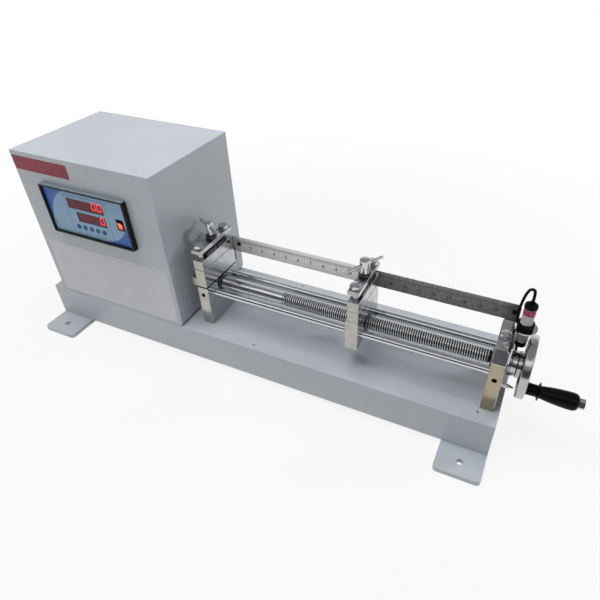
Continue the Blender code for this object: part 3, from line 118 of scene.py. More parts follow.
class Graph:
    """A node tree under construction, with one method that adds any kind of node."""

    def __init__(self, tree):
        self.tree = tree

    def node(self, kind, settings=None, *values, output=0, **sockets):
        """Add a node, set it up, feed its sockets by number and by name, and give one output."""
        made = self.tree.nodes.new(kind)
        for key, value in (settings or {}).items():
            setattr(made, key, value)
        for number, value in enumerate(values):
            self.feed(made.inputs[number], value)
        for key, value in sockets.items():
            self.feed(made.inputs[key], value)
        return Signal(self, made.outputs[output])

    def feed(self, socket, value):
        """Link a signal to a socket or set a plain value on it. None leaves it alone."""
        if isinstance(value, Signal):
            self.tree.links.new(value.socket, socket)
        elif value is not None:
            wide = socket.type == "RGBA" and len(value) == 3
            socket.default_value = (*value, 1.0) if wide else value

    def maths(self, operation, *values):
        return self.node("ShaderNodeMath", {"operation": operation}, *values)

    def vectors(self, operation, *values, output=0):
        return self.node("ShaderNodeVectorMath", {"operation": operation}, *values, output=output)

    def component(self, vector, letter):
        return self.node("ShaderNodeSeparateXYZ", None, vector, output=letter)

    def ray(self, kind):
        """One where a ray of this kind arrives, and zero elsewhere."""
        return self.node("ShaderNodeLightPath", output="Is " + kind + " Ray")

    def seen(self):
        """One for what the camera sees, straight, in a reflection or through glass."""
        rays = self.ray("Camera") + self.ray("Glossy") + self.ray("Transmission")
        return self.maths("MINIMUM", rays, 1.0)


class Finish(Graph):
    """A material under construction, in the coordinates of its piece."""

    def __init__(self, name):
        self.material = bpy.data.materials.new(name)
        self.material.use_nodes = True
        super().__init__(self.material.node_tree)
        self.shader = self.tree.nodes["Principled BSDF"]
        self.place = self.node("ShaderNodeTexCoord", output="Object")

    def noise(self, scale, detail, stretch=(1.0, 1.0, 1.0), roughness=0.5):
        """Noise about a half, whose grain is longer along an axis with a small stretch."""
        place = self.place
        if stretch != (1.0, 1.0, 1.0):
            place = self.vectors("MULTIPLY", place, stretch)
        return self.node(
            "ShaderNodeTexNoise", None, output="Fac",
            Vector=place, Scale=scale, Detail=detail, Roughness=roughness,
        )

    def blend(self, share, first, second):
        """Mix two colours by a share that varies over the surface."""
        number_and_vector_sockets = (None,) * 5
        return self.node(
            "ShaderNodeMix", {"data_type": "RGBA"},
            share, *number_and_vector_sockets, first, second, output=2,
        )

    def axis(self, letter):
        """Place along X, Y or Z, in metres."""
        return self.component(self.place, letter)

    def from_axis(self, letter, centre):
        """Distance from a line through a point along X, Y or Z."""
        away = self.vectors("SUBTRACT", self.place, centre)
        flat = tuple(0.0 if axis == letter else 1.0 for axis in "XYZ")
        spoke = self.vectors("MULTIPLY", away, flat)
        return self.vectors("LENGTH", spoke, output="Value")

    def facing(self, letter):
        """How far the surface faces along X, Y or Z, from -1 to 1."""
        normal = self.node("ShaderNodeNewGeometry", output="Normal")
        return self.component(normal, letter)

    def relief(self, height, distance, strength):
        return self.node(
            "ShaderNodeBump", None, output="Normal",
            Strength=strength, Distance=distance, Height=height,
        )

    def surface(self, **sockets):
        """Feed the shader's sockets, whose names have _ for a space, and give the material."""
        for key, value in sockets.items():
            self.feed(self.shader.inputs[key.replace("_", " ")], value)
        return self.material


def shade(colour, factor):
    """A colour made darker or lighter by a factor."""
    return tuple(min(1.0, channel * factor) for channel in colour)


def enamel(name, colour):
    """Baked enamel on sheet steel: faint orange peel, handling smears and a few specks."""
    finish = Finish(name)
    smear = finish.noise(7.0, 4.0, (1.0, 1.0, 2.4))
    cloud = finish.noise(2.6, 2.0)
    speck = finish.noise(520.0, 2.0).between(0.70, 0.78)
    peel = finish.noise(420.0, 2.0)
    tone = finish.blend(smear.between(0.30, 0.72), shade(colour, 0.95), shade(colour, 1.03))
    tone = finish.blend(cloud.between(0.40, 0.70) * 0.5, tone, shade(colour, 0.93))
    tone = finish.blend(speck * 0.20, tone, shade(colour, 0.72))
    dull = 0.36 + smear * 0.14
    return finish.surface(
        Base_Color=tone, Roughness=dull, Normal=finish.relief(peel, 0.00004, 0.35),
        Coat_Weight=0.35, Coat_Roughness=0.16,
    )


def ground_steel(name, colour, along, rough, stain_and_dim_reflection=(0.05, 0.045, 0.04)):
    """Steel ground along one axis, with fine scratches, dull patches and a faint stain."""
    finish = Finish(name)
    stretch = tuple(0.035 if number == along else 1.0 for number in range(3))
    grain = finish.noise(1900.0, 3.0, stretch)
    patch = finish.noise(46.0, 4.0)
    spots = finish.noise(230.0, 3.0).between(0.60, 0.78)
    tone = finish.blend(patch.between(0.35, 0.75), shade(colour, 1.05), shade(colour, 0.86))
    tone = finish.blend(spots * 0.30, tone, stain_and_dim_reflection)
    dull = rough + grain * 0.10 + spots * 0.12 + patch * 0.06
    return finish.surface(
        Base_Color=tone, Metallic=1.0, Roughness=dull, Normal=finish.relief(grain, 0.00002, 0.35),
    )


def bright_plate(name, colour, rough):
    """Bright plating: nearly a mirror, with a haze of fine wear."""
    finish = Finish(name)
    haze = finish.noise(160.0, 4.0)
    scuffs = finish.noise(900.0, 2.0, (1.0, 0.12, 1.0)).between(0.62, 0.74)
    tone = finish.blend(haze.between(0.3, 0.8), colour, shade(colour, 0.90))
    dull = rough + haze * 0.07 + scuffs * 0.12
    return finish.surface(
        Base_Color=tone, Metallic=1.0, Roughness=dull, Normal=finish.relief(scuffs, 0.000012, 0.3),
    )


def threaded(name, colour, grime, letter, centre, root, crest):
    """Threaded steel: bright crests over roots that are dark, with old oil and with painted shade of the
    deep roots.
    """
    finish = Finish(name)
    reach = finish.from_axis(letter, centre)
    depth = crest - root
    # Painted shade: below a height between root and crest the roots are painted dark, for old oil and for
    # the shade that falls in them.
    oil_and_shade_level, bright_level = root + depth * 0.66, crest - depth * 0.06
    clean_and_unshaded = reach.between(oil_and_shade_level, bright_level)
    oily_rough, clean_rough = 0.48, 0.13
    haze = finish.noise(300.0, 3.0)
    tone = finish.blend(clean_and_unshaded, grime, colour)
    tone = finish.blend(haze.between(0.45, 0.75) * 0.2, tone, shade(colour, 0.55))
    dull = oily_rough + haze * 0.08 - clean_and_unshaded * (oily_rough - clean_rough)
    return finish.surface(
        Base_Color=tone, Metallic=0.60, Roughness=dull, Specular_IOR_Level=0.12,
    )


def turned_metal(name, colour, letter, centre, rough, hazy=0.86):
    """Metal faced on a lathe: rings about its axis with a soft haze."""
    finish = Finish(name)
    reach = finish.from_axis(letter, centre)
    radians_per_metre = 9000.0
    ripple = finish.maths("SINE", reach * radians_per_metre)
    bands = finish.node(
        "ShaderNodeTexNoise", {"noise_dimensions": "1D"}, output="Fac", W=reach, Scale=900.0,
    )
    haze = finish.noise(70.0, 4.0)
    tone = finish.blend(haze.between(0.3, 0.75), colour, shade(colour, hazy))
    tone = finish.blend(bands.between(0.35, 0.7) * 0.45, tone, shade(colour, hazy * 0.8))
    dull = rough + haze * 0.10 + ripple * 0.02
    return finish.surface(
        Base_Color=tone, Metallic=1.0, Roughness=dull, Normal=finish.relief(ripple, 0.00001, 0.25),
    )


def moulded(name, colour, rough, grain_scale=1500.0, depth=0.00002):
    """Moulded plastic with a fine grain and a faint bloom."""
    finish = Finish(name)
    grain = finish.noise(grain_scale, 2.0)
    bloom = finish.noise(60.0, 3.0)
    tone = finish.blend(bloom.between(0.35, 0.8), colour, shade(colour, 1.3))
    dull = rough + bloom * 0.12
    return finish.surface(
        Base_Color=tone, Roughness=dull, Normal=finish.relief(grain, depth, 0.5),
        Specular_IOR_Level=0.08,
    )


def dusty(name, colour, dust, from_height, rough=0.34):
    """Moulded plastic whose upward faces above a height are painted lighter, a painted sheen for the
    light they reflect from above.
    """
    finish = Finish(name)
    grain = finish.noise(1500.0, 2.0)
    # Painted sheen: upward faces above the height are painted in the pale colour.
    upward = finish.facing("Z").between(0.55, 0.90)
    sheen_share = upward * finish.axis("Z").between(from_height, from_height + 0.001)
    drift = finish.noise(130.0, 3.0)
    tone = finish.blend(sheen_share * (0.72 + drift * 0.26), colour, dust)
    dull = rough + sheen_share * 0.18 + drift * 0.08
    return finish.surface(
        Base_Color=tone, Roughness=dull, Normal=finish.relief(grain, 0.00002, 0.5),
        Specular_IOR_Level=0.25,
    )


def two_tone_steel(name, sides, front, rough=0.09, front_rough=0.12, seam=None):
    """Polished steel block whose front is duller and painted in a colour of its own, a painted
    reflection, and which is painted nearly black above the height of a seam, as painted shade in the gap
    there.
    """
    finish = Finish(name)
    # Painted reflection: faces that look along -Y are painted in the front's own colour.
    forward = (-finish.facing("Y")).between(0.93, 0.985)
    haze = finish.noise(60.0, 4.0)
    scratch = finish.noise(1300.0, 3.0, (1.0, 1.0, 0.05))
    spots = finish.noise(210.0, 3.0).between(0.62, 0.76)
    tone = finish.blend(haze.between(0.3, 0.75), sides, shade(sides, 0.82))
    painted_front_tone = finish.blend(haze.between(0.35, 0.7), front, shade(front, 0.86))
    tone = finish.blend(forward, tone, painted_front_tone)
    tone = finish.blend(spots * 0.25, tone, shade(front, 0.55))
    dull = rough + forward * (front_rough - rough) + haze * 0.07 + scratch * 0.04 + spots * 0.10
    # Painted shade: above the seam's height the steel is painted nearly black, for the shade in the gap
    # over it.
    if seam:
        blur = 0.0002
        grime = finish.axis("Z").between(seam - blur, seam + blur)
        tone = finish.blend(grime, tone, shade(front, 0.02))
        dull = dull + grime * 0.35
    return finish.surface(
        Base_Color=tone, Metallic=1.0, Roughness=dull, Normal=finish.relief(scratch, 0.00001, 0.3),
    )


def printed_film(name, colour, rough=0.32):
    """Printed polyester film: even ink under a faint velvet texture."""
    finish = Finish(name)
    velvet = finish.noise(2600.0, 1.0)
    drift = finish.noise(20.0, 2.0)
    tone = finish.blend(drift.between(0.2, 0.8), shade(colour, 0.97), shade(colour, 1.04))
    return finish.surface(
        Base_Color=tone, Roughness=rough + velvet * 0.08, Normal=finish.relief(velvet, 0.000012, 0.4),
        Specular_IOR_Level=0.25,
    )


def lit_lens(name, body, lens, glow, hot, centre, reach):
    """Black rocker with a coloured lens, lit from inside and brightest at its centre."""
    finish = Finish(name)
    edge = 0.0003
    across = finish.maths("ABSOLUTE", finish.axis("X") - centre[0])
    up = finish.maths("ABSOLUTE", finish.axis("Z") - centre[2])
    inside = 1.0 - across.between(reach[0] - edge, reach[0])
    inside = inside * (1.0 - up.between(reach[1] - edge, reach[1]))
    away = finish.vectors("DISTANCE", finish.place, centre, output="Value")
    core = 1.0 - away.between(reach[0] * 0.25, reach[0] * 1.25)
    light = finish.blend(core, glow, hot)
    light = finish.blend(inside, (0.0, 0.0, 0.0), light)
    return finish.surface(
        Base_Color=finish.blend(inside, body, lens), Roughness=0.34,
        Emission_Color=light, Emission_Strength=1.0, Specular_IOR_Level=0.25,
    )


def worn_rule(name, left, bright, dark, change, width):
    """Rolled steel rule: painted bright, painted dim beyond a change as a painted reflection, and darker
    and mottled at its left end.
    """
    finish = Finish(name)
    along = finish.axis("X")
    cloud = finish.noise(34.0, 4.0)
    mottle = finish.noise(210.0, 5.0, roughness=0.65)
    streak = finish.noise(900.0, 3.0, (0.05, 1.0, 1.0))
    place = along + cloud * 0.02
    # Painted reflection: beyond the change the rule is painted dim, and it is also darker at its left
    # end.
    beyond = place.between(change, change + width)
    darker_end_from, darker_end_to = left + 0.008, left + 0.034
    near_end = 1.0 - place.between(darker_end_from, darker_end_to)
    dull = finish.maths("MINIMUM", beyond + near_end * 0.70, 1.0)
    stain_and_dim_reflection = finish.blend(mottle.between(0.38, 0.66), shade(dark, 1.25), shade(dark, 0.66))
    tone = finish.blend(dull, bright, stain_and_dim_reflection)
    tone = finish.blend(cloud.between(0.50, 0.75) * 0.10, tone, shade(bright, 0.7))
    rough = 0.48 - dull * 0.08 + streak * 0.08
    bare = 0.95 - dull * 0.35
    return finish.surface(
        Base_Color=tone, Metallic=bare, Roughness=rough, Normal=finish.relief(streak, 0.00001, 0.3),
        Specular_IOR_Level=1.0,
    )


def pale_floor(name, colour):
    """Matt paper that shows white from far off and keeps the object's shadow."""
    finish = Finish(name)
    fibre = finish.noise(30.0, 3.0)
    tone = finish.blend(fibre, shade(colour, 0.985), colour)
    paper = Signal(finish, finish.shader.outputs["BSDF"])
    reach = finish.from_axis("Z", (0.0, 0.0, 0.0))
    near, far, white_near = 0.45, 1.3, 0.86
    share = finish.seen() * (white_near + reach.between(near, far) * (1.0 - white_near))
    white = finish.node("ShaderNodeEmission", None, (1.0, 1.0, 1.0), 1.0)
    mixed = finish.node("ShaderNodeMixShader", None, share, paper, white)
    finish.feed(finish.tree.nodes["Material Output"].inputs["Surface"], mixed)
    return finish.surface(Base_Color=tone, Roughness=0.9)


# Shapes


def on_axis(axis, along, first, second):
    """Place a point from its distance along an axis and its two cross coordinates in X, Y, Z order."""
    if axis == "X":
        return Vector((along, first, second))
    if axis == "Y":
        return Vector((first, along, second))
    return Vector((first, second, along))


def add_loops(mesh, loops, ring=False):
    """Skin a row of closed loops of points. A loop of one point is a pole."""
    made = [[mesh.verts.new(point) for point in loop] for loop in loops]
    pairs = list(zip(made, made[1:]))
    if ring:
        pairs.append((made[-1], made[0]))
    for near, far in pairs:
        count = max(len(near), len(far))
        for step in range(count):
            after = (step + 1) % count
            if len(near) == 1:
                mesh.faces.new((near[0], far[step], far[after]))
            elif len(far) == 1:
                mesh.faces.new((near[after], near[step], far[0]))
            else:
                mesh.faces.new((near[after], near[step], far[step], far[after]))


def around(axis, centre, along, radius, angle):
    """A point at a radius and an angle about an axis."""
    first = centre[0] + radius * math.cos(angle)
    second = centre[1] + radius * math.sin(angle)
    return on_axis(axis, along, first, second)


def circle(axis, centre, along, radius, sides, turn=0.0):
    """A closed loop of points about an axis."""
    angles = [math.tau * step / sides + turn for step in range(sides)]
    return [around(axis, centre, along, radius, angle) for angle in angles]


def add_turned(mesh, axis, centre, profile, sides=72, ring=False):
    """Turn a profile of (along, radius) entries about an axis. A zero radius is a pole."""
    loops = []
    for along, radius in profile:
        if radius:
            loops.append(circle(axis, centre, along, radius, sides))
        else:
            loops.append([on_axis(axis, along, *centre)])
    add_loops(mesh, loops, ring)


def cylinder(low, high, radius):
    """Profile of a plain cylinder."""
    return ((low, 0.0), (low, radius), (high, radius), (high, 0.0))


def ball(centre, radius):
    """Profile of a ball from its centre's place along the axis."""
    steps = 12
    points = [(centre - radius, 0.0)]
    for step in range(1, steps):
        angle = math.pi * step / steps
        points.append((centre - radius * math.cos(angle), radius * math.sin(angle)))
    points.append((centre + radius, 0.0))
    return points


def add_hex(mesh, axis, centre, low, high, flat, turn=0.0, bore=0.0, both=False):
    """A hexagon nut or head whose corners are turned down to a cone at its high end, or at both."""
    sides = 72
    cone = math.tan(math.radians(32))
    cone_start, face = flat * 0.98, flat * 0.95

    def level(along, slope):
        loop = []
        for step in range(sides):
            angle = math.tau * step / sides
            reach = flat / math.cos(angle % (math.pi / 3) - math.pi / 6)
            drop = slope * max(0.0, reach - cone_start) * cone
            loop.append(around(axis, centre, along + drop, reach, angle + turn))
        return loop

    def middle_loop(along):
        if bore:
            return circle(axis, centre, along, bore, sides, turn)
        return [on_axis(axis, along, *centre)]

    way = math.copysign(1.0, high - low)
    loops = (
        middle_loop(low),
        circle(axis, centre, low, face, sides, turn),
        level(low, way if both else 0.0),
        level(high, -way),
        circle(axis, centre, high, face, sides, turn),
        middle_loop(high),
    )
    add_loops(mesh, loops, ring=bool(bore))


def add_thread(mesh, axis, centre, start, end, crest, pitch, depth, sides):
    """A right-hand thread with flat crests, faded out over its first and last turn."""
    # Shares of the pitch and of the depth, from root to crest and back.
    shape = ((0.0, 0.0), (0.16, 0.0), (0.32, 1.0), (0.66, 1.0), (0.82, 0.0))
    steps = int((end - start) / pitch * sides)
    rows = []
    for step in range(steps + 1):
        angle = math.tau * step / sides
        base = start + pitch * step / sides
        row = []
        for share, height in shape:
            along = min(end, base + share * pitch)
            fade = min(1.0, (along - start) / pitch, (end - along) / pitch + 0.02)
            radius = crest - depth + depth * height * max(0.0, fade)
            row.append(mesh.verts.new(around(axis, centre, along, radius, angle)))
        rows.append(row)
    for step in range(steps):
        near, far = rows[step], rows[step + 1]
        for place in range(len(shape) - 1):
            mesh.faces.new((near[place], far[place], far[place + 1], near[place + 1]))
        if step + 1 + sides <= steps:
            mesh.faces.new((near[-1], far[-1], rows[step + 1 + sides][0], rows[step + sides][0]))


def rounded(centre, size, radii, steps=6):
    """Outline of a rectangle with a round at each corner: one radius, or one across and one up."""
    half_a, half_b = size[0] / 2, size[1] / 2
    corners = ((-1, -1, math.pi), (1, -1, 1.5 * math.pi), (1, 1, 0.0), (-1, 1, 0.5 * math.pi))
    points = []
    for (sign_a, sign_b, start), radius in zip(corners, radii):
        across, up = radius if isinstance(radius, tuple) else (radius, radius)
        middle_a = centre[0] + sign_a * (half_a - across)
        middle_b = centre[1] + sign_b * (half_b - up)
        for step in range(steps + 1):
            angle = start + math.pi / 2 * step / steps
            points.append((middle_a + across * math.cos(angle), middle_b + up * math.sin(angle)))
    return points


def add_prism(mesh, axis, outline, low, high):
    """Extrude a flat outline, given by its two cross coordinates, from low to high along an axis."""
    near = [mesh.verts.new(on_axis(axis, low, a, b)) for a, b in outline]
    far = [mesh.verts.new(on_axis(axis, high, a, b)) for a, b in outline]
    mesh.faces.new(near)
    mesh.faces.new(far)
    for step in range(len(outline)):
        after = (step + 1) % len(outline)
        mesh.faces.new((near[step], near[after], far[after], far[step]))


def add_box(mesh, low, high):
    """A box between two corners."""
    outline = [(low[0], low[1]), (high[0], low[1]), (high[0], high[1]), (low[0], high[1])]
    add_prism(mesh, "Z", outline, low[2], high[2])


def new_object(name, mesh):
    """Close a mesh under construction and link it as an object."""
    bmesh.ops.recalc_face_normals(mesh, faces=mesh.faces)
    data = bpy.data.meshes.new(name)
    mesh.to_mesh(data)
    mesh.free()
    item = bpy.data.objects.new(name, data)
    bpy.context.scene.collection.objects.link(item)
    return item


def shade_round(data):
    """Shade a mesh smooth, but for its sharp edges."""
    data.shade_smooth()
    data.set_sharp_from_angle(angle=SHARP_ANGLE)


def piece(name, mesh, material, body, stands_for=(), smooth=True):
    """Finish a mesh as a named piece that rides on a body and may stand for solids of the frame."""
    item = new_object(name, mesh)
    item.data.materials.append(material)
    if smooth:
        shade_round(item.data)
    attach(item, body)
    if stands_for:
        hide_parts(*stands_for)
    return item


def turned_piece(name, axis, centre, profile, material, body, stands_for=(), sides=72, ring=False):
    """A piece made by turning one profile about an axis."""
    mesh = bmesh.new()
    add_turned(mesh, axis, centre, profile, sides, ring)
    return piece(name, mesh, material, body, stands_for)


def break_edges(item, width):
    """Round the sharp edges of a piece and keep its flats flat."""
    bevel = item.modifiers.new("edges", "BEVEL")
    bevel.width = width
    bevel.segments = 3
    bevel.limit_method = "ANGLE"
    flats = item.modifiers.new("flats", "WEIGHTED_NORMAL")
    flats.keep_sharp = True


def carve(item, mesh):
    """Take a closed shape out of a piece for good."""
    cutter = new_object("carving", mesh)
    boolean = item.modifiers.new("cut", "BOOLEAN")
    boolean.operation = "DIFFERENCE"
    boolean.solver = "EXACT"
    boolean.object = cutter
    graph = bpy.context.evaluated_depsgraph_get()
    result = bpy.data.meshes.new_from_object(item.evaluated_get(graph))
    item.modifiers.clear()
    item.data = result
    bpy.data.objects.remove(cutter, do_unlink=True)
    if not result.polygons:
        raise RuntimeError(item.name + " was carved away")
    shade_round(result)


def dress(material, *nodes):
    """Give solids of the frame a material in every slot."""
    for name in nodes:
        for slot in NODES[name].material_slots:
            slot.material = material


def eased(node, width, material, body, hole=None):
    """A solid of the frame again with its edges broken, as a piece that stands for it."""
    mesh = bmesh.new()
    mesh.from_mesh(NODES[node].data)
    bmesh.ops.remove_doubles(mesh, verts=mesh.verts, dist=SAME_POINT)
    bmesh.ops.dissolve_limit(mesh, angle_limit=SAME_PLANE, verts=mesh.verts, edges=mesh.edges)
    item = piece(node + "_eased", mesh, material, body, (node,))
    if hole:
        carve(item, hole)
    break_edges(item, width)


def middle(node):
    """Centre of a solid's box."""
    low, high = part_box(node)
    return (low + high) / 2


def box_across(node, axis):
    """Both corners of a solid's box, and its centre as seen along an axis."""
    low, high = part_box(node)
    crossing = [number for number in range(3) if "XYZ"[number] != axis]
    return low, high, tuple((low[number] + high[number]) / 2 for number in crossing)


# What a user would change


def colour_property(name, description, value):
    return FloatVectorProperty(
        name=name, description=description, default=value, subtype="COLOR", min=0.0, max=1.0, size=3,
    )


def length_property(name, description, value):
    return FloatProperty(name=name, description=description, default=value, unit="LENGTH", min=0.0)


class TesterSizes(bpy.types.PropertyGroup):
    """Sizes of the details that the solids leave out."""

    thread_pitch: length_property("Thread pitch", "Travel of the carriage for one turn", 0.004)
    thread_depth: length_property("Thread depth", "From crest to root of the lead screw", 0.0017)
    clamp_pitch: length_property("Clamp thread pitch", "Lift of a jaw for one turn", 0.0015)
    inch: length_property("Rule division", "Distance between two numbered marks", 0.0254)
    mark_width: length_property("Mark width", "Width of an inch line on the rule", 0.00060)
    number_height: length_property("Number height", "Height of the rule's figures", 0.0060)
    plate_thickness: length_property("Plate thickness", "Thickness of the cabinet's plates", 0.0004)
    red_plate_width: length_property("Red plate width", "Width of the small plate", 0.1285)
    red_plate_height: length_property("Red plate height", "Height of the small plate", 0.0258)
    pale_plate_width: length_property("Pale plate width", "Width of the large plate", 0.290)
    pale_plate_height: length_property("Pale plate height", "Height of the large plate", 0.1195)
    digit_width: length_property("Digit width", "Width of a figure on the display", 0.0078)
    screw_head: length_property("Screw head radius", "Radius of the small pan heads", 0.0031)
    barrel_pitch: length_property("Barrel thread pitch", "Pitch of the sensor's thread", 0.001)


class TesterColours(bpy.types.PropertyGroup):
    """Colours of the finishes, in linear light."""

    enamel: colour_property("Enamel", "Paint of the cabinet and base", (0.548, 0.590, 0.638))
    pale_plate: colour_property("Pale plate", "Bare plate on the cabinet", (0.730, 0.735, 0.770))
    red_plate: colour_property("Red plate", "Small plate on the cabinet", (0.330, 0.055, 0.075))
    film_blue: colour_property("Film blue", "Corners of the counter's film", (0.060, 0.165, 0.540))
    film_pale: colour_property("Film pale", "Middle of the counter's film", (0.320, 0.500, 0.680))
    film_line: colour_property("Film line", "Thin lines on the film", (0.060, 0.130, 0.220))
    pane: colour_property("Pane", "Red pane of the display", (0.175, 0.026, 0.046))
    glow: colour_property("Glow", "Lit figures", (1.0, 0.040, 0.020))
    lamp: colour_property("Lamp", "Hottest part of the rocker's lamp", (1.0, 0.42, 0.16))
    key: colour_property("Key", "Round keys", (0.060, 0.120, 0.290))
    # Painted reflection: the colour the fronts of these blocks are painted, for what they reflect.
    steel: colour_property(
        "Steel", "Fronts of the carriage, clamps and fixed post", (0.460, 0.450, 0.405),
    )
    # Painted reflection: the beige the end post's front is painted, for what it reflects.
    beige_steel: colour_property("Beige steel", "Front of the end post", (0.400, 0.350, 0.250))
    polished: colour_property("Polished steel", "Rods, screw and bolts", (0.610, 0.620, 0.640))
    dark_steel: colour_property("Dark steel", "Jaws and straps", (0.090, 0.092, 0.100))
    # Dark of the roots of a thread: oil, and painted shade of the deep roots.
    grime: colour_property("Grime", "Oil in the roots of a thread", (0.012, 0.012, 0.012))
    # Painted reflection: the rule's bright part and its dim part.
    rule_bright: colour_property("Rule, bright", "Handled part of the rule", (0.990, 0.990, 1.000))
    rule_dull: colour_property("Rule, dull", "Stained part of the rule", (0.250, 0.250, 0.258))
    mark: colour_property("Marks", "Lines and figures on the rule", (0.020, 0.020, 0.022))
    wheel: colour_property("Wheel", "Polished handwheel", (0.520, 0.525, 0.535))
    plastic: colour_property("Black plastic", "Grip, cap and nuts", (0.004, 0.004, 0.0045))
    # Painted sheen: the pale colour of the top of the counter's bezel.
    dust: colour_property("Dust", "Film of dust on the counter's top", (0.240, 0.290, 0.330))
    barrel: colour_property("Barrel", "Sensor's barrel", (0.560, 0.560, 0.580))
    band: colour_property("Band", "Coloured band on the sensor", (0.480, 0.060, 0.120))
    floor: colour_property("Floor", "Floor and background", (0.800, 0.800, 0.800))


# Pieces


def cross_outline(centre, long, short):
    """Outline of a cross from its four equal arms."""
    points = []
    for along, across in ((1, 0), (0, 1), (-1, 0), (0, -1)):
        for a, b in ((long, -short), (long, short), (short, short)):
            points.append((centre[0] + a * along - b * across, centre[1] + a * across + b * along))
    return points


# Height and radius along a pan head, and its recess, as shares of the head's radius.
PAN_HEAD = ((0.0, 0.0), (0.0, 1.0), (0.18, 1.0), (0.42, 0.86), (0.57, 0.55), (0.62, 0.20), (0.62, 0.0))
RECESS_DEPTH = 0.42
RECESS_ARM = 0.52
RECESS_HALF_WIDTH = 0.11


def zinc_plate(name, colours):
    """Dull zinc of the small screws."""
    return bright_plate(name, shade(colours.polished, 0.8), 0.25)


def make_small_screw(name, axis, centre, face, way, material, body, radius):
    """A pan head with a cross recess, standing on a face."""
    profile = [(face + way * radius * height, radius * width) for height, width in PAN_HEAD]
    head = turned_piece(name, axis, centre, profile, material, body, sides=32)
    top = profile[-1][0]
    bottom, clear = top - way * radius * RECESS_DEPTH, top + way * 0.001
    outline = cross_outline(centre, radius * RECESS_ARM, radius * RECESS_HALF_WIDTH)
    cross = bmesh.new()
    add_prism(cross, axis, outline, min(bottom, clear), max(bottom, clear))
    carve(head, cross)


class TESTER_OT_base(bpy.types.Operator):
    """Paint the base and its foot straps and add the screws in the base's top"""

    bl_idname = "tester.base"
    bl_label = "Base"

    def execute(self, context):
        sizes, colours = context.scene.tester_sizes, context.scene.tester_colours
        paint = enamel("base_enamel", colours.enamel)
        dress(paint, "base_shell", "left_foot_strap", "right_foot_strap")
        zinc = zinc_plate("zinc_screws", colours)
        low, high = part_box("base_shell")
        middle_x, right_x = low.x + 0.490, high.x - 0.032
        middle_inset, right_inset = 0.0105, 0.0205
        radius = sizes.screw_head * 0.7
        places = (
            ("base_screw_middle", (middle_x, low.y + middle_inset)),
            ("base_screw_right", (right_x, low.y + right_inset)),
            ("base_screw_rear", (middle_x, high.y - middle_inset)),
            ("base_screw_rear_right", (right_x, high.y - right_inset)),
        )
        for name, centre in places:
            make_small_screw(name, "Z", centre, high.z, 1.0, zinc, "machine", radius)
        return {"FINISHED"}


class TESTER_OT_cabinet(bpy.types.Operator):
    """Paint the cabinet, lay its bare plates and add the rear cover's screws"""

    bl_idname = "tester.cabinet"
    bl_label = "Cabinet"

    def execute(self, context):
        sizes, colours = context.scene.tester_sizes, context.scene.tester_colours
        dress(enamel("cabinet_enamel", colours.enamel), "cabinet_shell", "cabinet_rear_cover")
        dress(moulded("inlet_plastic", colours.plastic, 0.45), "mains_inlet")
        low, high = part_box("cabinet_shell")

        size = (sizes.red_plate_width, sizes.red_plate_height)
        inset, drop, corner = 0.0022, 0.0088, 0.0012
        centre = (low.x + inset + size[0] / 2, high.z - drop - size[1] / 2)
        film = printed_film("red_film", colours.red_plate, 0.36)
        outline = rounded(centre, size, [corner] * 4)
        self.make_plate("red_plate", outline, low.y, sizes.plate_thickness, film)

        size = (sizes.pale_plate_width, sizes.pale_plate_height)
        inset, rise = 0.011, 0.0058
        lower_corner, upper_corner = 0.008, 0.001
        centre = (low.x + inset + size[0] / 2, low.z + rise + size[1] / 2)
        film = printed_film("pale_film", colours.pale_plate, 0.40)
        outline = rounded(centre, size, [lower_corner] * 2 + [upper_corner] * 2)
        self.make_plate("pale_plate", outline, low.y, sizes.plate_thickness, film)

        zinc = zinc_plate("cover_screws", colours)
        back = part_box("cabinet_rear_cover")[1].y
        inset_x, inset_z = 0.012, 0.014
        columns = {"left": low.x + inset_x, "right": high.x - inset_x}
        rows = {"low": low.z + inset_z, "middle": (low.z + high.z) / 2, "high": high.z - inset_z}
        for column, across in columns.items():
            for row, up in rows.items():
                name = "cover_screw_" + row + "_" + column
                make_small_screw(name, "Y", (across, up), back, 1.0, zinc, "machine", sizes.screw_head)
        return {"FINISHED"}

    def make_plate(self, name, outline, front, thickness, film):
        """A thin plate stuck on the front of the cabinet."""
        mesh = bmesh.new()
        add_prism(mesh, "Y", outline, front - thickness, front)
        piece(name, mesh, film, "machine")


KEY_NUMBERS = range(1, 6)
# Middles of the segments that a nought lights, as shares of its width and height, and which are level.
NOUGHT_SEGMENTS = (
    (0.5, 1.0, True),
    (0.5, 0.0, True),
    (0.0, 0.75, False),
    (1.0, 0.75, False),
    (0.0, 0.25, False),
    (1.0, 0.25, False),
)


def add_nought(mesh, corner, width, height, front, back):
    """Seven-segment nought leaning a little, from its low left corner."""
    lean = math.tan(math.radians(6))
    stroke = 0.00105
    thick = stroke / 2
    for across, up, level in NOUGHT_SEGMENTS:
        middle_x, middle_z = corner[0] + width * across, corner[1] + height * up
        half = (width / 2 if level else height / 4) - stroke * 0.25
        if level:
            outline = ((-half, 0), (-half + thick, -thick), (half - thick, -thick), (half, 0))
            outline += ((half - thick, thick), (-half + thick, thick))
        else:
            outline = ((0, -half), (thick, -half + thick), (thick, half - thick), (0, half))
            outline += ((-thick, half - thick), (-thick, -half + thick))
        points = []
        for across_by, up_by in outline:
            up_at = middle_z + up_by
            points.append((middle_x + across_by + (up_at - corner[1]) * lean, up_at))
        add_prism(mesh, "Y", points, front, back)


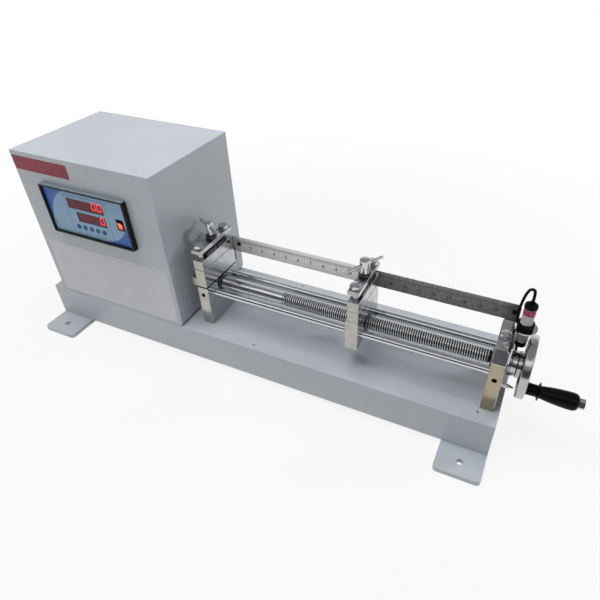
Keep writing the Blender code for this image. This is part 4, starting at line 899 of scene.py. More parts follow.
class TESTER_OT_counter(bpy.types.Operator):
    """Build the counter's film, lit figures, keys and rocker over its solids"""

    bl_idname = "tester.counter"
    bl_label = "Counter"

    def execute(self, context):
        sizes, colours = context.scene.tester_sizes, context.scene.tester_colours
        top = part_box("counter_bezel")[1].z
        # The bezel's top is painted pale, a painted sheen.
        rim = dusty("bezel_plastic", colours.plastic, colours.dust, top - 0.0025)
        eased("counter_bezel", 0.0007, rim, "machine")
        dress(printed_film("film_blue", colours.film_blue, 0.28), "counter_case")
        dress(moulded("rocker_frame_plastic", colours.plastic, 0.30), "rocker_frame")
        pane = Finish("red_pane")
        tint = pane.noise(40.0, 2.0)
        colour = pane.blend(tint, colours.pane, shade(colours.pane, 0.8))
        pane.surface(Base_Color=colour, Roughness=0.30, Specular_IOR_Level=0.20)
        dress(pane.material, "display_window")

        low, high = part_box("counter_bezel")
        self.make_film(colours, low, high)
        self.make_figures(sizes, colours, low, high)
        self.make_keys(colours)
        self.make_rocker(colours)
        return {"FINISHED"}

    def make_film(self, colours, low, high):
        """Pale field with two large round corners over the blue film, and its thin lines."""
        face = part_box("counter_case")[0].y
        rim = 0.0042
        size = (high.x - low.x - 2 * rim, high.z - low.z - 2 * rim)
        centre = ((low.x + high.x) / 2, (low.z + high.z) / 2)
        square = 0.0005
        lower_sweep, upper_sweep = (0.070, 0.064), (0.062, size[1] - 0.0006)
        outline = rounded(centre, size, [square, lower_sweep, square, upper_sweep], 16)
        field = bmesh.new()
        add_prism(field, "Y", outline, face - SKIN, face + SKIN)
        pale = printed_film("film_pale", colours.film_pale)
        film = piece("counter_film", field, pale, "machine")

        holes = [rounded(place[:2], place[2:], [0.0008] * 4) for place in self.windows(low, high)]
        clearance = 0.0006
        for number in KEY_NUMBERS:
            key_low, key_high, spot = box_across("key_%d" % number, "Y")
            across = key_high.x - key_low.x + clearance
            holes.append(rounded(spot, (across, across), [across / 2] * 4))
        rocker_low, rocker_high, spot = box_across("rocker_frame", "Y")
        opening = (rocker_high.x - rocker_low.x, rocker_high.z - rocker_low.z)
        holes.append(rounded(spot, opening, [square] * 4))
        openings = bmesh.new()
        for hole in holes:
            add_prism(openings, "Y", hole, face - 0.001, face + 0.001)
        carve(film, openings)

        frame_left, frame_right = low.x + 0.0515, low.x + 0.1450
        frame_low, frame_high = low.z + 0.0082, high.z - 0.0122
        width = 0.00055
        front, back = face - 2 * SKIN, face - SKIN / 2
        lines = bmesh.new()
        for across in (frame_left, frame_right):
            add_box(lines, (across, front, frame_low), (across + width, back, frame_high))
        for up in (frame_low, frame_high):
            add_box(lines, (frame_left, front, up), (frame_right + width, back, up + width))
        ink = printed_film("film_ink", colours.film_line)
        piece("film_lines", lines, ink, "machine", smooth=False)

    def windows(self, low, high):
        """Centre and size of the two openings over the pane."""
        wide, tall = high.x - low.x, high.z - low.z
        upper = (low.x + wide * 0.507, high.z - tall * 0.289, wide * 0.432, tall * 0.206)
        lower = (low.x + wide * 0.544, high.z - tall * 0.550, wide * 0.349, tall * 0.206)
        return upper, lower

    def make_figures(self, sizes, colours, low, high):
        """Two lit figures with a point between them, and one with a point after it."""
        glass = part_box("display_window")[0].y
        front, back = glass - 3 * SKIN, glass - SKIN
        upper, lower = self.windows(low, high)
        width, height, gap = sizes.digit_width, upper[3] * 0.66, 0.0052
        upper_margin, lower_margin = 0.0056, 0.0062
        upper_drop, lower_drop = height * 0.31, height * 0.40
        figures = bmesh.new()

        def nought(left, bottom):
            add_nought(figures, (left, bottom), width, height, front, back)

        def point(across, up, size, corner):
            outline = rounded((across, up), (size, size), [corner] * 4)
            add_prism(figures, "Y", outline, front, back)

        right = upper[0] + upper[2] / 2 - upper_margin
        bottom = upper[1] - upper_drop
        nought(right - width, bottom)
        nought(right - 2 * width - gap, bottom)
        point(right - width - gap / 2, bottom, 0.0016, 0.0008)
        right = lower[0] + lower[2] / 2 - lower_margin
        bottom = lower[1] - lower_drop
        nought(right - width, bottom)
        point(right + 0.0024, bottom, 0.0015, 0.0007)

        light = Finish("lit_figures")
        flicker = light.noise(900.0, 1.0)
        glow = light.blend(flicker, colours.glow, shade(colours.glow, 0.85))
        light.surface(
            Base_Color=colours.glow, Roughness=0.4, Emission_Color=glow, Emission_Strength=1.9,
        )
        piece("lit_figures", figures, light.material, "machine", smooth=False)

    def make_keys(self, colours):
        """Round caps, dished a little in the middle."""
        cap = moulded("key_plastic", colours.key, 0.42)
        for number in KEY_NUMBERS:
            name = "key_%d" % number
            low, high, centre = box_across(name, "Y")
            radius = (high.x - low.x) / 2
            profile = (
                (low.y + 0.00035, 0.0),
                (low.y + 0.00030, radius * 0.45),
                (low.y + 0.00008, radius * 0.70),
                (low.y, radius * 0.80),
                (low.y + 0.00012, radius * 0.93),
                (low.y + 0.00050, radius),
                (high.y, radius),
                (high.y, 0.0),
            )
            turned_piece(
                "key_cap_%d" % number, "Y", centre, profile,
                cap, name + "_body", (name,), sides=48,
            )

    def make_rocker(self, colours):
        """The rocker's own solid, finished with a lit lens in its front."""
        low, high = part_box("rocker_button")
        centre = ((low.x + high.x) / 2, low.y, (low.z + high.z) / 2)
        lens_half = 0.43
        reach = ((high.x - low.x) * lens_half, (high.z - low.z) * lens_half)
        lens = (0.50, 0.025, 0.020)
        lamp = lit_lens(
            "rocker_lens", colours.plastic, lens, colours.glow, colours.lamp, centre, reach,
        )
        dress(lamp, "rocker_button")


class TESTER_OT_bed(bpy.types.Operator):
    """Finish the posts and build the rods, bushes and threaded lead screw"""

    bl_idname = "tester.bed"
    bl_label = "Bed"

    def execute(self, context):
        sizes, colours = context.scene.tester_sizes, context.scene.tester_colours
        sides = shade(colours.polished, 0.85)
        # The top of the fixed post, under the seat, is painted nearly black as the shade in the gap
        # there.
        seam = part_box("fixed_post")[1].z - 0.0016
        # Both posts' fronts are painted in a reflection colour of their own.
        tan = two_tone_steel("fixed_post_steel", sides, colours.steel, seam=seam)
        beige = two_tone_steel("end_post_steel", sides, colours.beige_steel)
        for node, steel in (("fixed_post", tan), ("end_post", beige)):
            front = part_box(node)[0].y
            hole = bmesh.new()
            profile = cylinder(front - 0.001, front + GRUB_HOLE_DEPTH, GRUB_HOLE_RADIUS)
            add_turned(hole, "Y", self.grub_place(node), profile, 48)
            eased(node, 0.0006, steel, "machine", hole)
        polished = bright_plate("polished_rod", colours.polished, 0.07)
        for name in ("front_guide_rod", "rear_guide_rod"):
            self.make_rod(name, polished)
        dark = bright_plate("dark_bush", shade(colours.dark_steel, 1.3), 0.30)
        for name in ("fixed_post_bush", "end_post_bush"):
            self.make_bush(name, dark)
        self.make_screw(sizes, colours)
        self.make_grub_screws(colours)
        return {"FINISHED"}

    def make_rod(self, node, material):
        """A guide rod with chamfered ends."""
        low, high, centre = box_across(node, "X")
        radius = (high.z - low.z) / 2
        chamfer = 0.0008
        profile = (
            (low.x, 0.0),
            (low.x, radius - chamfer),
            (low.x + chamfer, radius),
            (high.x - chamfer, radius),
            (high.x, radius - chamfer),
            (high.x, 0.0),
        )
        turned_piece(node + "_bar", "X", centre, profile, material, "machine", (node,))

    def make_bush(self, node, material):
        """A sleeve with a flange at its outer end, which is turned round on the end post."""
        low, high, centre = box_across(node, "X")
        flange = (high.z - low.z) / 2
        sleeve = flange - 0.004
        bore = sleeve - 0.003
        lip = high.x - 0.0025
        edge, inner_edge = 0.0006, 0.0003
        points = [
            (low.x, bore),
            (low.x, sleeve),
            (lip, sleeve),
            (lip, flange - inner_edge),
            (lip + inner_edge, flange),
            (high.x - edge, flange),
            (high.x, flange - edge),
            (high.x, bore),
        ]
        if node == "end_post_bush":
            points = [(low.x + high.x - along, radius) for along, radius in points]
        turned_piece(node + "_sleeve", "X", centre, points, material, "machine", (node,), ring=True)

    def make_screw(self, sizes, colours):
        """The lead screw: journals, a plain length, a relief groove and the thread."""
        low, high, centre = box_across("lead_screw", "X")
        crest = (high.z - low.z) / 2
        journal = crest - 0.00375
        root = crest - sizes.thread_depth
        core = root - 0.0004
        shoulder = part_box("fixed_post_bush")[1].x + 0.0003
        thread_start = shoulder + 0.1323
        thread_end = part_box("end_post")[0].x - 0.004
        relief = thread_start - 0.0018
        edge = 0.0006
        profile = (
            (low.x, 0.0),
            (low.x, journal - edge),
            (low.x + edge, journal),
            (shoulder, journal),
            (shoulder, crest - edge),
            (shoulder + edge, crest),
            (relief, crest),
            (relief + 0.0004, core),
            (thread_start, core),
            (thread_end, core),
            (thread_end + 0.001, journal),
            (high.x - edge, journal),
            (high.x, journal - edge),
            (high.x, 0.0),
        )
        steel = bright_plate("lead_screw_steel", colours.polished, 0.10)
        turned_piece("lead_screw_core", "X", centre, profile, steel, "crank", ("lead_screw",))
        thread = bmesh.new()
        add_thread(
            thread, "X", centre, thread_start, thread_end, crest,
            sizes.thread_pitch, sizes.thread_depth, 36,
        )
        axis_point = (low.x, *centre)
        # Painted highlight: the crests are painted lighter than the polished steel.
        bright = shade(colours.polished, 1.3)
        oiled_and_shaded = threaded("lead_screw_threads", bright, colours.grime, "X", axis_point, root, crest)
        piece("lead_screw_thread", thread, oiled_and_shaded, "crank")

    def grub_place(self, post):
        """Centre of the set screw, a little below the front rod's axis."""
        return middle(post).x, middle("front_guide_rod").z - 0.0017

    def make_grub_screws(self, colours):
        """Set screws sunk in the front of each post."""
        black = bright_plate("grub_steel", shade(colours.dark_steel, 0.15), 0.45)
        for post in ("fixed_post", "end_post"):
            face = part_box(post)[0].y + GRUB_HOLE_DEPTH - 0.0016
            socket, back = face + 0.0012, face + 0.0015
            radius = GRUB_HOLE_RADIUS - 0.0002
            profile = (
                (socket, 0.0),
                (socket, radius * 0.48),
                (face, radius * 0.56),
                (face, radius * 0.9),
                (face + 0.0004, radius),
                (back, radius),
                (back, 0.0),
            )
            place = self.grub_place(post)
            turned_piece(post + "_grub_screw", "Y", place, profile, black, "machine", sides=36)


class TESTER_OT_carriage(bpy.types.Operator):
    """Finish the carriage block, its riser and the nut on the lead screw"""

    bl_idname = "tester.carriage"
    bl_label = "Carriage"

    def execute(self, context):
        colours = context.scene.tester_colours
        # The fronts are painted in a reflection colour of their own.
        steel = two_tone_steel("carriage_steel", shade(colours.polished, 0.85), colours.steel, 0.07)
        for node in ("carriage_body", "moving_clamp_riser"):
            eased(node, 0.0005, steel, "carriage")
        low, high, centre = box_across("lead_nut", "X")
        outer = (high.z - low.z) / 2
        bore = outer - 0.0054
        edge = 0.0006
        profile = (
            (low.x, bore + edge),
            (low.x, outer - edge),
            (low.x + edge, outer),
            (high.x - edge, outer),
            (high.x, outer - edge),
            (high.x, bore + edge),
            (high.x - edge, bore),
            (low.x + edge, bore),
        )
        dark = bright_plate("nut_steel", colours.dark_steel, 0.30)
        turned_piece(
            "lead_nut_sleeve", "X", centre, profile, dark, "carriage", ("lead_nut",), ring=True,
        )
        return {"FINISHED"}


class TESTER_OT_clamps(bpy.types.Operator):
    """Finish both clamps and build their bolts, lock nuts, screws and tommy bars"""

    bl_idname = "tester.clamps"
    bl_label = "Clamps"

    def execute(self, context):
        sizes, colours = context.scene.tester_sizes, context.scene.tester_colours
        # The fronts are painted in a reflection colour of their own.
        steel = two_tone_steel("clamp_steel", shade(colours.polished, 0.85), colours.steel, 0.12, 0.16)
        dark = ground_steel("jaw_steel", colours.dark_steel, 1, 0.32)
        bright = bright_plate("bolt_plate", colours.polished, 0.16)
        screw = bright_plate("clamp_screw_plate", colours.polished, 0.11)
        black = bright_plate("blackened_nut", colours.dark_steel, 0.32)
        edge, jaw_edge = 0.0005, 0.0004
        eased("fixed_clamp_seat", edge, steel, "machine")
        for prefix, frame_body in (("fixed", "machine"), ("moving", "carriage")):
            eased(prefix + "_lower_jaw", edge, steel, frame_body)
            eased(prefix + "_bridge", edge, steel, frame_body)
            eased(prefix + "_upper_jaw", jaw_edge, dark, prefix + "_jaw")
            for place in ("front", "rear"):
                self.make_bolt(prefix + "_" + place + "_bolt", bright, frame_body)
            self.make_lock_nut(prefix + "_lock_nut", black, frame_body)
            self.make_clamp_screw(prefix, screw, colours, sizes.clamp_pitch)
            self.make_bar(prefix, screw)
        return {"FINISHED"}

    def make_bolt(self, node, material, body):
        """A hexagon bolt, with its shank down through the bridge."""
        low, high, centre = box_across(node, "Z")
        head = high.z - M10_HEAD
        flat, turn = 0.0085, math.radians(15)
        shank = (
            (low.z, 0.0),
            (low.z, M10_RADIUS - 0.0004),
            (low.z + 0.0005, M10_RADIUS),
            (head + INTO_HEAD, M10_RADIUS),
            (head + INTO_HEAD, 0.0),
        )
        mesh = bmesh.new()
        add_hex(mesh, "Z", centre, head, high.z, flat, turn)
        add_turned(mesh, "Z", centre, shank, 48)
        piece(node + "_m10", mesh, material, body, (node,))

    def make_lock_nut(self, node, material, body):
        """A round nut under the head of the clamp screw."""
        low, high, centre = box_across(node, "Z")
        outer = (high.x - low.x) / 2
        bore = M10_RADIUS + 0.0004
        profile = (
            (low.z, bore),
            (low.z, outer - 0.0004),
            (low.z + 0.0004, outer),
            (high.z - 0.0010, outer),
            (high.z - 0.0003, outer - 0.0006),
            (high.z, outer - 0.0014),
            (high.z, bore + 0.0006),
            (high.z - 0.0007, bore),
        )
        turned_piece(node + "_collar", "Z", centre, profile, material, body, (node,), ring=True)

    def make_clamp_screw(self, prefix, material, colours, pitch):
        """A threaded screw with a round head, which is bored through for the tommy bar."""
        node = prefix + "_clamp_screw"
        low, high, centre = box_across(node, "Z")
        head = high.z - 0.0250
        radius = (high.x - low.x) / 2
        tip, depth = 0.0040, 0.0007
        root = M10_RADIUS - depth
        core = root - 0.0002
        thread_start = low.z + 0.0050
        profile = (
            (low.z, 0.0),
            (low.z, tip - 0.0004),
            (low.z + 0.0004, tip),
            (low.z + 0.0040, tip),
            (thread_start, core),
            (head, core),
            (head, radius - 0.0010),
            (head + 0.0010, radius),
            (high.z - 0.0012, radius),
            (high.z - 0.0004, radius - 0.0005),
            (high.z, radius - 0.0014),
            (high.z, 0.0),
        )
        body = prefix + "_screw"
        shaft = turned_piece(node + "_turned", "Z", centre, profile, material, body, (node,))
        bar_height = middle(prefix + "_tommy_bar").z
        hole_radius, through = BAR_RADIUS + 0.0003, 0.03
        hole = bmesh.new()
        self.add_bar(hole, self.bar_angle(prefix), centre, bar_height, hole_radius, through, 0.0)
        carve(shaft, hole)
        thread = bmesh.new()
        add_thread(thread, "Z", centre, thread_start, head, M10_RADIUS, pitch, depth, 24)
        axis_point = (*centre, low.z)
        oiled_and_shaded = threaded(
            node + "_threads", colours.polished, colours.grime, "Z", axis_point, root, M10_RADIUS,
        )
        piece(node + "_thread", thread, oiled_and_shaded, body)

    def bar_angle(self, prefix):
        return math.radians(-29.0 if prefix == "fixed" else 60.0)

    def add_bar(self, mesh, angle, centre, height, radius, length, round_off):
        """A level bar across a screw's head, with rounded ends."""
        half = length / 2
        profile = [(-half, 0.0), (-half, radius - round_off)]
        if round_off:
            profile.append((-half + round_off * 0.4, radius - round_off * 0.3))
            profile += [(-half + round_off, radius), (half - round_off, radius)]
            profile.append((half - round_off * 0.4, radius - round_off * 0.3))
        profile += [(half, radius - round_off), (half, 0.0)]
        start = len(mesh.verts)
        add_turned(mesh, "X", (0.0, 0.0), profile, 48)
        mesh.verts.ensure_lookup_table()
        made = mesh.verts[start:]
        place = Vector((centre[0], centre[1], height))
        bmesh.ops.rotate(mesh, verts=made, cent=(0, 0, 0), matrix=Matrix.Rotation(angle, 3, "Z"))
        bmesh.ops.translate(mesh, verts=made, vec=place)

    def make_bar(self, prefix, material):
        """The tommy bar, at the angle at which its clamp was left."""
        node = prefix + "_tommy_bar"
        low, high, centre = box_across(node, "Z")
        height, length, round_off = (low.z + high.z) / 2, 0.074, 0.0011
        mesh = bmesh.new()
        self.add_bar(mesh, self.bar_angle(prefix), centre, height, BAR_RADIUS, length, round_off)
        piece(node + "_round", mesh, material, prefix + "_screw", (node,))


class TESTER_OT_end_block(bpy.types.Operator):
    """Finish the block on the end post, its bolts and the pointed stud"""

    bl_idname = "tester.end_block"
    bl_label = "End block"

    def execute(self, context):
        colours = context.scene.tester_colours
        # The cap's front is painted dark steel, a painted reflection.
        finish = two_tone_steel("cap_steel", shade(colours.polished, 0.9), colours.dark_steel)
        eased("end_post_cap", 0.0008, finish, "machine")
        bright = bright_plate("cap_bolt_plate", colours.polished, 0.18)
        low, high, centre = box_across("cap_bolt", "Z")
        head = high.z - M10_HEAD
        flat, turn = 0.0080, math.radians(35)
        mesh = bmesh.new()
        add_hex(mesh, "Z", centre, head, high.z, flat, turn)
        add_turned(mesh, "Z", centre, cylinder(low.z, head + INTO_HEAD, M10_RADIUS), 48)
        piece("cap_bolt_m10", mesh, bright, "machine", ("cap_bolt",))

        cap_low, cap_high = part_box("end_post_cap")
        spot = (centre[0] + 0.003, cap_low.y + 0.0090)
        height, flat, turn = 0.0040, 0.0050, math.radians(20)
        small = bmesh.new()
        add_hex(small, "Z", spot, cap_high.z, cap_high.z + height, flat, turn)
        piece("cap_small_bolt", small, bright, "machine")

        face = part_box("end_post")[1].x
        spot = (cap_low.y + 0.0175, low.z - 0.0665)
        tip, radius = face + 0.0195, 0.0038
        profile = (
            (face - 0.004, 0.0),
            (face - 0.004, radius),
            (face + 0.0100, radius),
            (tip - 0.0012, 0.0009),
            (tip, 0.0),
        )
        steel = bright_plate("stud_steel", colours.polished, 0.16)
        turned_piece("pointed_stud", "X", spot, profile, steel, "machine", sides=48)
        return {"FINISHED"}


# The rule's zero lies this far to the left of its left end.
RULE_ZERO = 0.0135
RULE_PARTS = 32
LAST_FIGURE = 20
# Every so many parts, a mark of this length and this share of the full width.
RULE_MARKS = (
    (RULE_PARTS, 0.0088, 1.0),
    (RULE_PARTS // 2, 0.0080, 0.9),
    (RULE_PARTS // 8, 0.0070, 0.8),
    (2, 0.0048, 0.40),
    (1, 0.0034, 0.30),
)


class TESTER_OT_rule(bpy.types.Operator):
    """Finish the steel rule and engrave its marks and figures"""

    bl_idname = "tester.rule"
    bl_label = "Rule"

    def execute(self, context):
        sizes, colours = context.scene.tester_sizes, context.scene.tester_colours
        low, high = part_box("steel_rule")
        # The rule is painted bright and dim for the reflections on it.
        bright, dull = colours.rule_bright, colours.rule_dull
        change, width = middle("carriage_body").x - 0.005, 0.025
        dress(worn_rule("rule_steel", low.x, bright, dull, change, width), "steel_rule")
        dark = ground_steel("strap_steel", colours.dark_steel, 2, 0.40)
        for node in ("fixed_rule_strap", "end_rule_strap"):
            eased(node, 0.0004, dark, "machine")
        ink = Finish("engraving")
        wear = ink.noise(600.0, 3.0)
        ink.surface(Base_Color=ink.blend(wear, colours.mark, shade(colours.mark, 4.0)), Roughness=0.6)
        self.make_marks(sizes, ink.material, low, high)
        self.make_figures(sizes, ink.material, low, high)
        up, radius = low.z + (high.z - low.z) * 0.53, 0.0043
        black = bright_plate("rule_screw_black", shade(colours.dark_steel, 0.4), 0.40)
        places = {"rule_screw_left": low.x + 0.0125, "rule_screw_right": high.x - 0.0091}
        for name, across in places.items():
            make_small_screw(name, "Y", (across, up), low.y, -1.0, black, "machine", radius)
        return {"FINISHED"}

    def make_marks(self, sizes, ink, low, high):
        """Marks below the upper edge: fine ones, and longer ones at each eighth, half and inch."""
        mesh = bmesh.new()
        step = sizes.inch / RULE_PARTS
        start, top, margin = low.x - RULE_ZERO, high.z - 0.0060, 0.004
        for number in range(int((high.x - start) / step)):
            across = start + number * step
            if not low.x + margin < across < high.x - margin:
                continue
            reach, share = next(kind[1:] for kind in RULE_MARKS if number % kind[0] == 0)
            half = sizes.mark_width / 2 * share
            corner = (across - half, low.y - SKIN, top - reach)
            add_box(mesh, corner, (across + half, low.y + SKIN, top))
        piece("rule_marks", mesh, ink, "machine", smooth=False)

    def make_figures(self, sizes, ink, low, high):
        """A figure under each inch line that has room for it."""
        up, margin = high.z - 0.0192, 0.012
        for number in range(1, LAST_FIGURE + 1):
            across = low.x - RULE_ZERO + number * sizes.inch
            if not low.x + margin <= across <= high.x - margin:
                continue
            text = bpy.data.curves.new("rule_figure_%d" % number, "FONT")
            text.body = str(number)
            text.size = sizes.number_height * 1.4
            text.align_x = "CENTER"
            text.align_y = "CENTER"
            text.extrude = SKIN
            text.offset = sizes.mark_width * 0.35
            text.materials.append(ink)
            item = bpy.data.objects.new("rule_figure_%d" % number, text)
            item.rotation_euler = (math.pi / 2, 0.0, 0.0)
            item.location = (across, low.y, up)
            bpy.context.scene.collection.objects.link(item)
            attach(item, "machine")


class TESTER_OT_handwheel(bpy.types.Operator):
    """Build the hub, the handwheel and its revolving handle"""

    bl_idname = "tester.handwheel"
    bl_label = "Handwheel"

    def execute(self, context):
        colours = context.scene.tester_colours
        low, high, centre = box_across("hub_collar", "X")
        axis_point = (low.x, *centre)
        bright = turned_metal("wheel_metal", colours.wheel, "X", axis_point, 0.13)
        self.make_hub(low, high, centre, bright)
        self.make_wheel(centre, bright)
        self.make_handle(colours)
        return {"FINISHED"}

    def make_hub(self, low, high, centre, material):
        """A collar with broken edges, bored for the journal."""
        radius = (high.z - low.z) / 2
        profile = (
            (low.x, WHEEL_BORE),
            (low.x, radius - 0.0012),
            (low.x + 0.0004, radius - 0.0004),
            (low.x + 0.0012, radius),
            (high.x - 0.0008, radius),
            (high.x, radius - 0.0008),
            (high.x, WHEEL_BORE),
        )
        turned_piece(
            "hub_collar_turned", "X", centre, profile,
            material, "crank", ("hub_collar",), sides=96, ring=True,
        )

    def make_wheel(self, centre, material):
        """Boss, web and rim in one turning, and the raised seat of the handle."""
        low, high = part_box("handwheel")
        radius = (high.z - low.z) / 2
        boss, edge = 0.022, 0.001
        front_boss = boss * 0.62
        rim_left = low.x + 0.0070
        rim_inner = radius - 0.009
        web_left = rim_left + 0.00375
        web_right = web_left + 0.006
        fillet = rim_inner - 0.003
        lip, lip_depth = rim_inner - 0.0012, 0.0008
        profile = [(low.x, WHEEL_BORE), (low.x, boss - edge), (low.x + edge, boss)]
        profile += [(web_left - edge, boss), (web_left, boss + edge), (web_left, fillet)]
        profile += [(web_left - lip_depth, lip), (rim_left + 0.0004, rim_inner)]
        profile += self.corner(rim_left, radius, 1.0)
        profile += reversed(self.corner(high.x, radius, -1.0))
        profile += [(high.x - 0.0004, rim_inner), (web_right + lip_depth, lip)]
        profile += [(web_right, fillet), (web_right, front_boss + edge)]
        profile += [(web_right + edge, front_boss), (high.x, front_boss - edge), (high.x, WHEEL_BORE)]
        turned_piece(
            "handwheel_turned", "X", centre, profile,
            material, "crank", ("handwheel",), sides=128, ring=True,
        )
        spot = box_across("handle_bolt", "X")[2]
        back, seat, edge = web_left + 0.001, 0.0082, 0.0006
        profile = (
            (back, 0.0),
            (back, seat),
            (high.x - edge, seat),
            (high.x, seat - edge),
            (high.x, 0.0),
        )
        turned_piece("handle_seat", "X", spot, profile, material, "crank", sides=64)

    def corner(self, face, radius, way):
        """Rounded corner of the rim, from the face to the outer surface."""
        round_off, steps = 0.0022, 4
        points = []
        for step in range(steps + 1):
            angle = math.pi / 2 * step / steps
            along = face + way * round_off * (1 - math.cos(angle))
            points.append((along, radius - round_off * (1 - math.sin(angle))))
        return points

    def make_handle(self, colours):
        """The handle's bolt and the grip that turns on it."""
        low, high, centre = box_across("handle_bolt", "X")
        head = high.x - 0.0085
        plate = bright_plate("handle_bolt_plate", colours.polished, 0.16)
        mesh = bmesh.new()
        add_hex(mesh, "X", centre, head, high.x, 0.0075)
        add_turned(mesh, "X", centre, cylinder(low.x, head + INTO_HEAD, 0.004), 48)
        piece("handle_bolt_turned", mesh, plate, "crank", ("handle_bolt",))

        low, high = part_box("handle_grip")
        grip = moulded("grip_plastic", colours.plastic, 0.16, 400.0, 0.000008)
        turned_piece(
            "handle_grip_turned", "X", centre, self.grip_profile(low, high),
            grip, "grip", ("handle_grip",), sides=96, ring=True,
        )

    def grip_profile(self, low, high):
        """Neck, thin flange, neck again, and a swelling body with a round end, about a bore."""
        bore, neck, wide, flange = 0.0043, 0.0102, 0.0143, (high.z - low.z) / 2
        length = high.x - low.x
        ring = low.x + length * 0.25
        points = [(low.x, bore), (low.x, neck - 0.0014)]
        points += [(low.x + 0.0004, neck - 0.0004), (low.x + 0.0014, neck)]
        points += [(ring - 0.0034, neck * 0.95), (ring - 0.0020, neck * 1.05)]
        points += [(ring - 0.0010, flange * 0.90), (ring - 0.0004, flange * 0.985), (ring, flange)]
        points += [(ring + 0.0004, flange * 0.985), (ring + 0.0010, flange * 0.90)]
        points += [(ring + 0.0020, neck * 1.08), (ring + 0.0034, neck)]
        swell_start, swell_end, steps = ring + 0.0034, ring + length * 0.62, 10
        for step in range(1, steps + 1):
            share = step / steps
            along = swell_start + (swell_end - swell_start) * share
            points.append((along, neck + (wide - neck) * math.sin(share * math.pi / 2) ** 0.85))
        end_face, steps = wide * 0.52, 8
        for step in range(1, steps + 1):
            angle = math.pi / 2 * step / steps
            along = swell_end + (high.x - swell_end) * math.sin(angle)
            points.append((along, end_face + (wide - end_face) * math.cos(angle) ** 0.8))
        points.append((high.x, bore))
        return points


class TESTER_OT_sensor(bpy.types.Operator):
    """Build the proximity sensor, its nuts and its bracket"""

    bl_idname = "tester.sensor"
    bl_label = "Sensor"

    def execute(self, context):
        sizes, colours = context.scene.tester_sizes, context.scene.tester_colours
        dress(bright_plate("bracket_plate", colours.polished, 0.14), "sensor_bracket")
        black = moulded("sensor_plastic", colours.plastic, 0.22)
        self.make_barrel(sizes, colours)
        self.make_tip(black)
        self.make_cap(black)
        for node in ("sensor_upper_nut", "sensor_lower_nut"):
            low, high, centre = box_across(node, "Z")
            flat, bore = (high.x - low.x) / 2, 0.0093
            mesh = bmesh.new()
            add_hex(mesh, "Z", centre, low.z, high.z, flat, math.radians(30), bore, both=True)
            piece(node + "_hex", mesh, black, "machine", (node,))
        return {"FINISHED"}

    def make_barrel(self, sizes, colours):
        """The barrel: threaded below, plain above, with a coloured band and a small lamp."""
        low, high, centre = box_across("sensor_barrel", "Z")
        radius = (high.x - low.x) / 2
        smooth_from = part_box("sensor_upper_nut")[1].z + 0.002
        band_low, band_high = high.z - 0.0110, high.z - 0.0006
        band_middle = (band_low + band_high) / 2
        depth, lamp_radius, lamp_sunk = 0.0005, 0.0011, 0.0002
        profile = (
            (low.z, 0.0),
            (low.z, radius - depth),
            (smooth_from, radius - depth),
            (smooth_from + 0.0006, radius),
            (high.z, radius),
            (high.z, 0.0),
        )
        shell = moulded("barrel_shell", colours.barrel, 0.30)
        turned_piece(
            "sensor_barrel_turned", "Z", centre, profile, shell, "machine", ("sensor_barrel",),
        )
        thread = bmesh.new()
        add_thread(thread, "Z", centre, low.z, smooth_from, radius, sizes.barrel_pitch, depth, 32)
        piece("sensor_barrel_thread", thread, shell, "machine")
        outer = radius + SKIN
        sleeve = ((band_low, radius), (band_low, outer), (band_high, outer), (band_high, radius))
        film = printed_film("band_film", colours.band)
        turned_piece("sensor_band", "Z", centre, sleeve, film, "machine", ring=True)
        front_right = Vector((0.30, -1.0)).normalized()
        spot = Vector(centre) + front_right * (radius - lamp_sunk)
        lens = moulded("lamp_lens", (0.85, 0.62, 0.66), 0.2)
        bead = ball(band_middle, lamp_radius)
        turned_piece("sensor_lamp", "Z", spot, bead, lens, "machine", sides=20)

    def make_tip(self, black):
        """The sensing face under the barrel."""
        low, high, centre = box_across("sensor_tip", "Z")
        radius = (high.x - low.x) / 2
        profile = (
            (low.z, 0.0),
            (low.z, radius - 0.0010),
            (low.z + 0.0003, radius - 0.0003),
            (low.z + 0.0010, radius),
            (high.z, radius),
            (high.z, 0.0),
        )
        turned_piece("sensor_tip_turned", "Z", centre, profile, black, "machine", ("sensor_tip",))

    def make_cap(self, black):
        """The cap over the barrel, with a groove and the cable's boot."""
        low, high, centre = box_across("sensor_cap", "Z")
        radius = (high.x - low.x) / 2
        shoulder, groove = low.z + 0.0060, radius - 0.0004
        profile = (
            (low.z, 0.0),
            (low.z, groove),
            (low.z + 0.0004, radius),
            (low.z + 0.0016, radius),
            (low.z + 0.0019, groove),
            (low.z + 0.0024, groove),
            (low.z + 0.0027, radius),
            (shoulder - 0.0016, radius),
            (shoulder - 0.0006, radius - 0.0005),
            (shoulder, radius - 0.0016),
            (shoulder, 0.0),
        )
        mesh = bmesh.new()
        add_turned(mesh, "Z", centre, profile, 72)
        cable = CABLE_ROUTE[0]
        add_turned(mesh, "Z", (cable[0], cable[1]), self.boot_profile(shoulder, high.z), 48)
        piece("sensor_cap_turned", mesh, black, "machine", ("sensor_cap",))

    def boot_profile(self, shoulder, top):
        """Tapered strain relief of three ribs."""
        wide, taper, rings = 0.0044, 0.0013, 3
        start = shoulder + 0.0003
        points = [(shoulder - 0.001, 0.0), (shoulder - 0.001, wide)]
        for step in range(rings):
            up = start + (top - start) * step / rings
            radius = wide - taper * step / rings
            points += [(up, radius), (up + 0.0005, radius), (up + 0.0006, radius - 0.0006)]
        return points + [(top, 0.0027), (top, 0.0)]


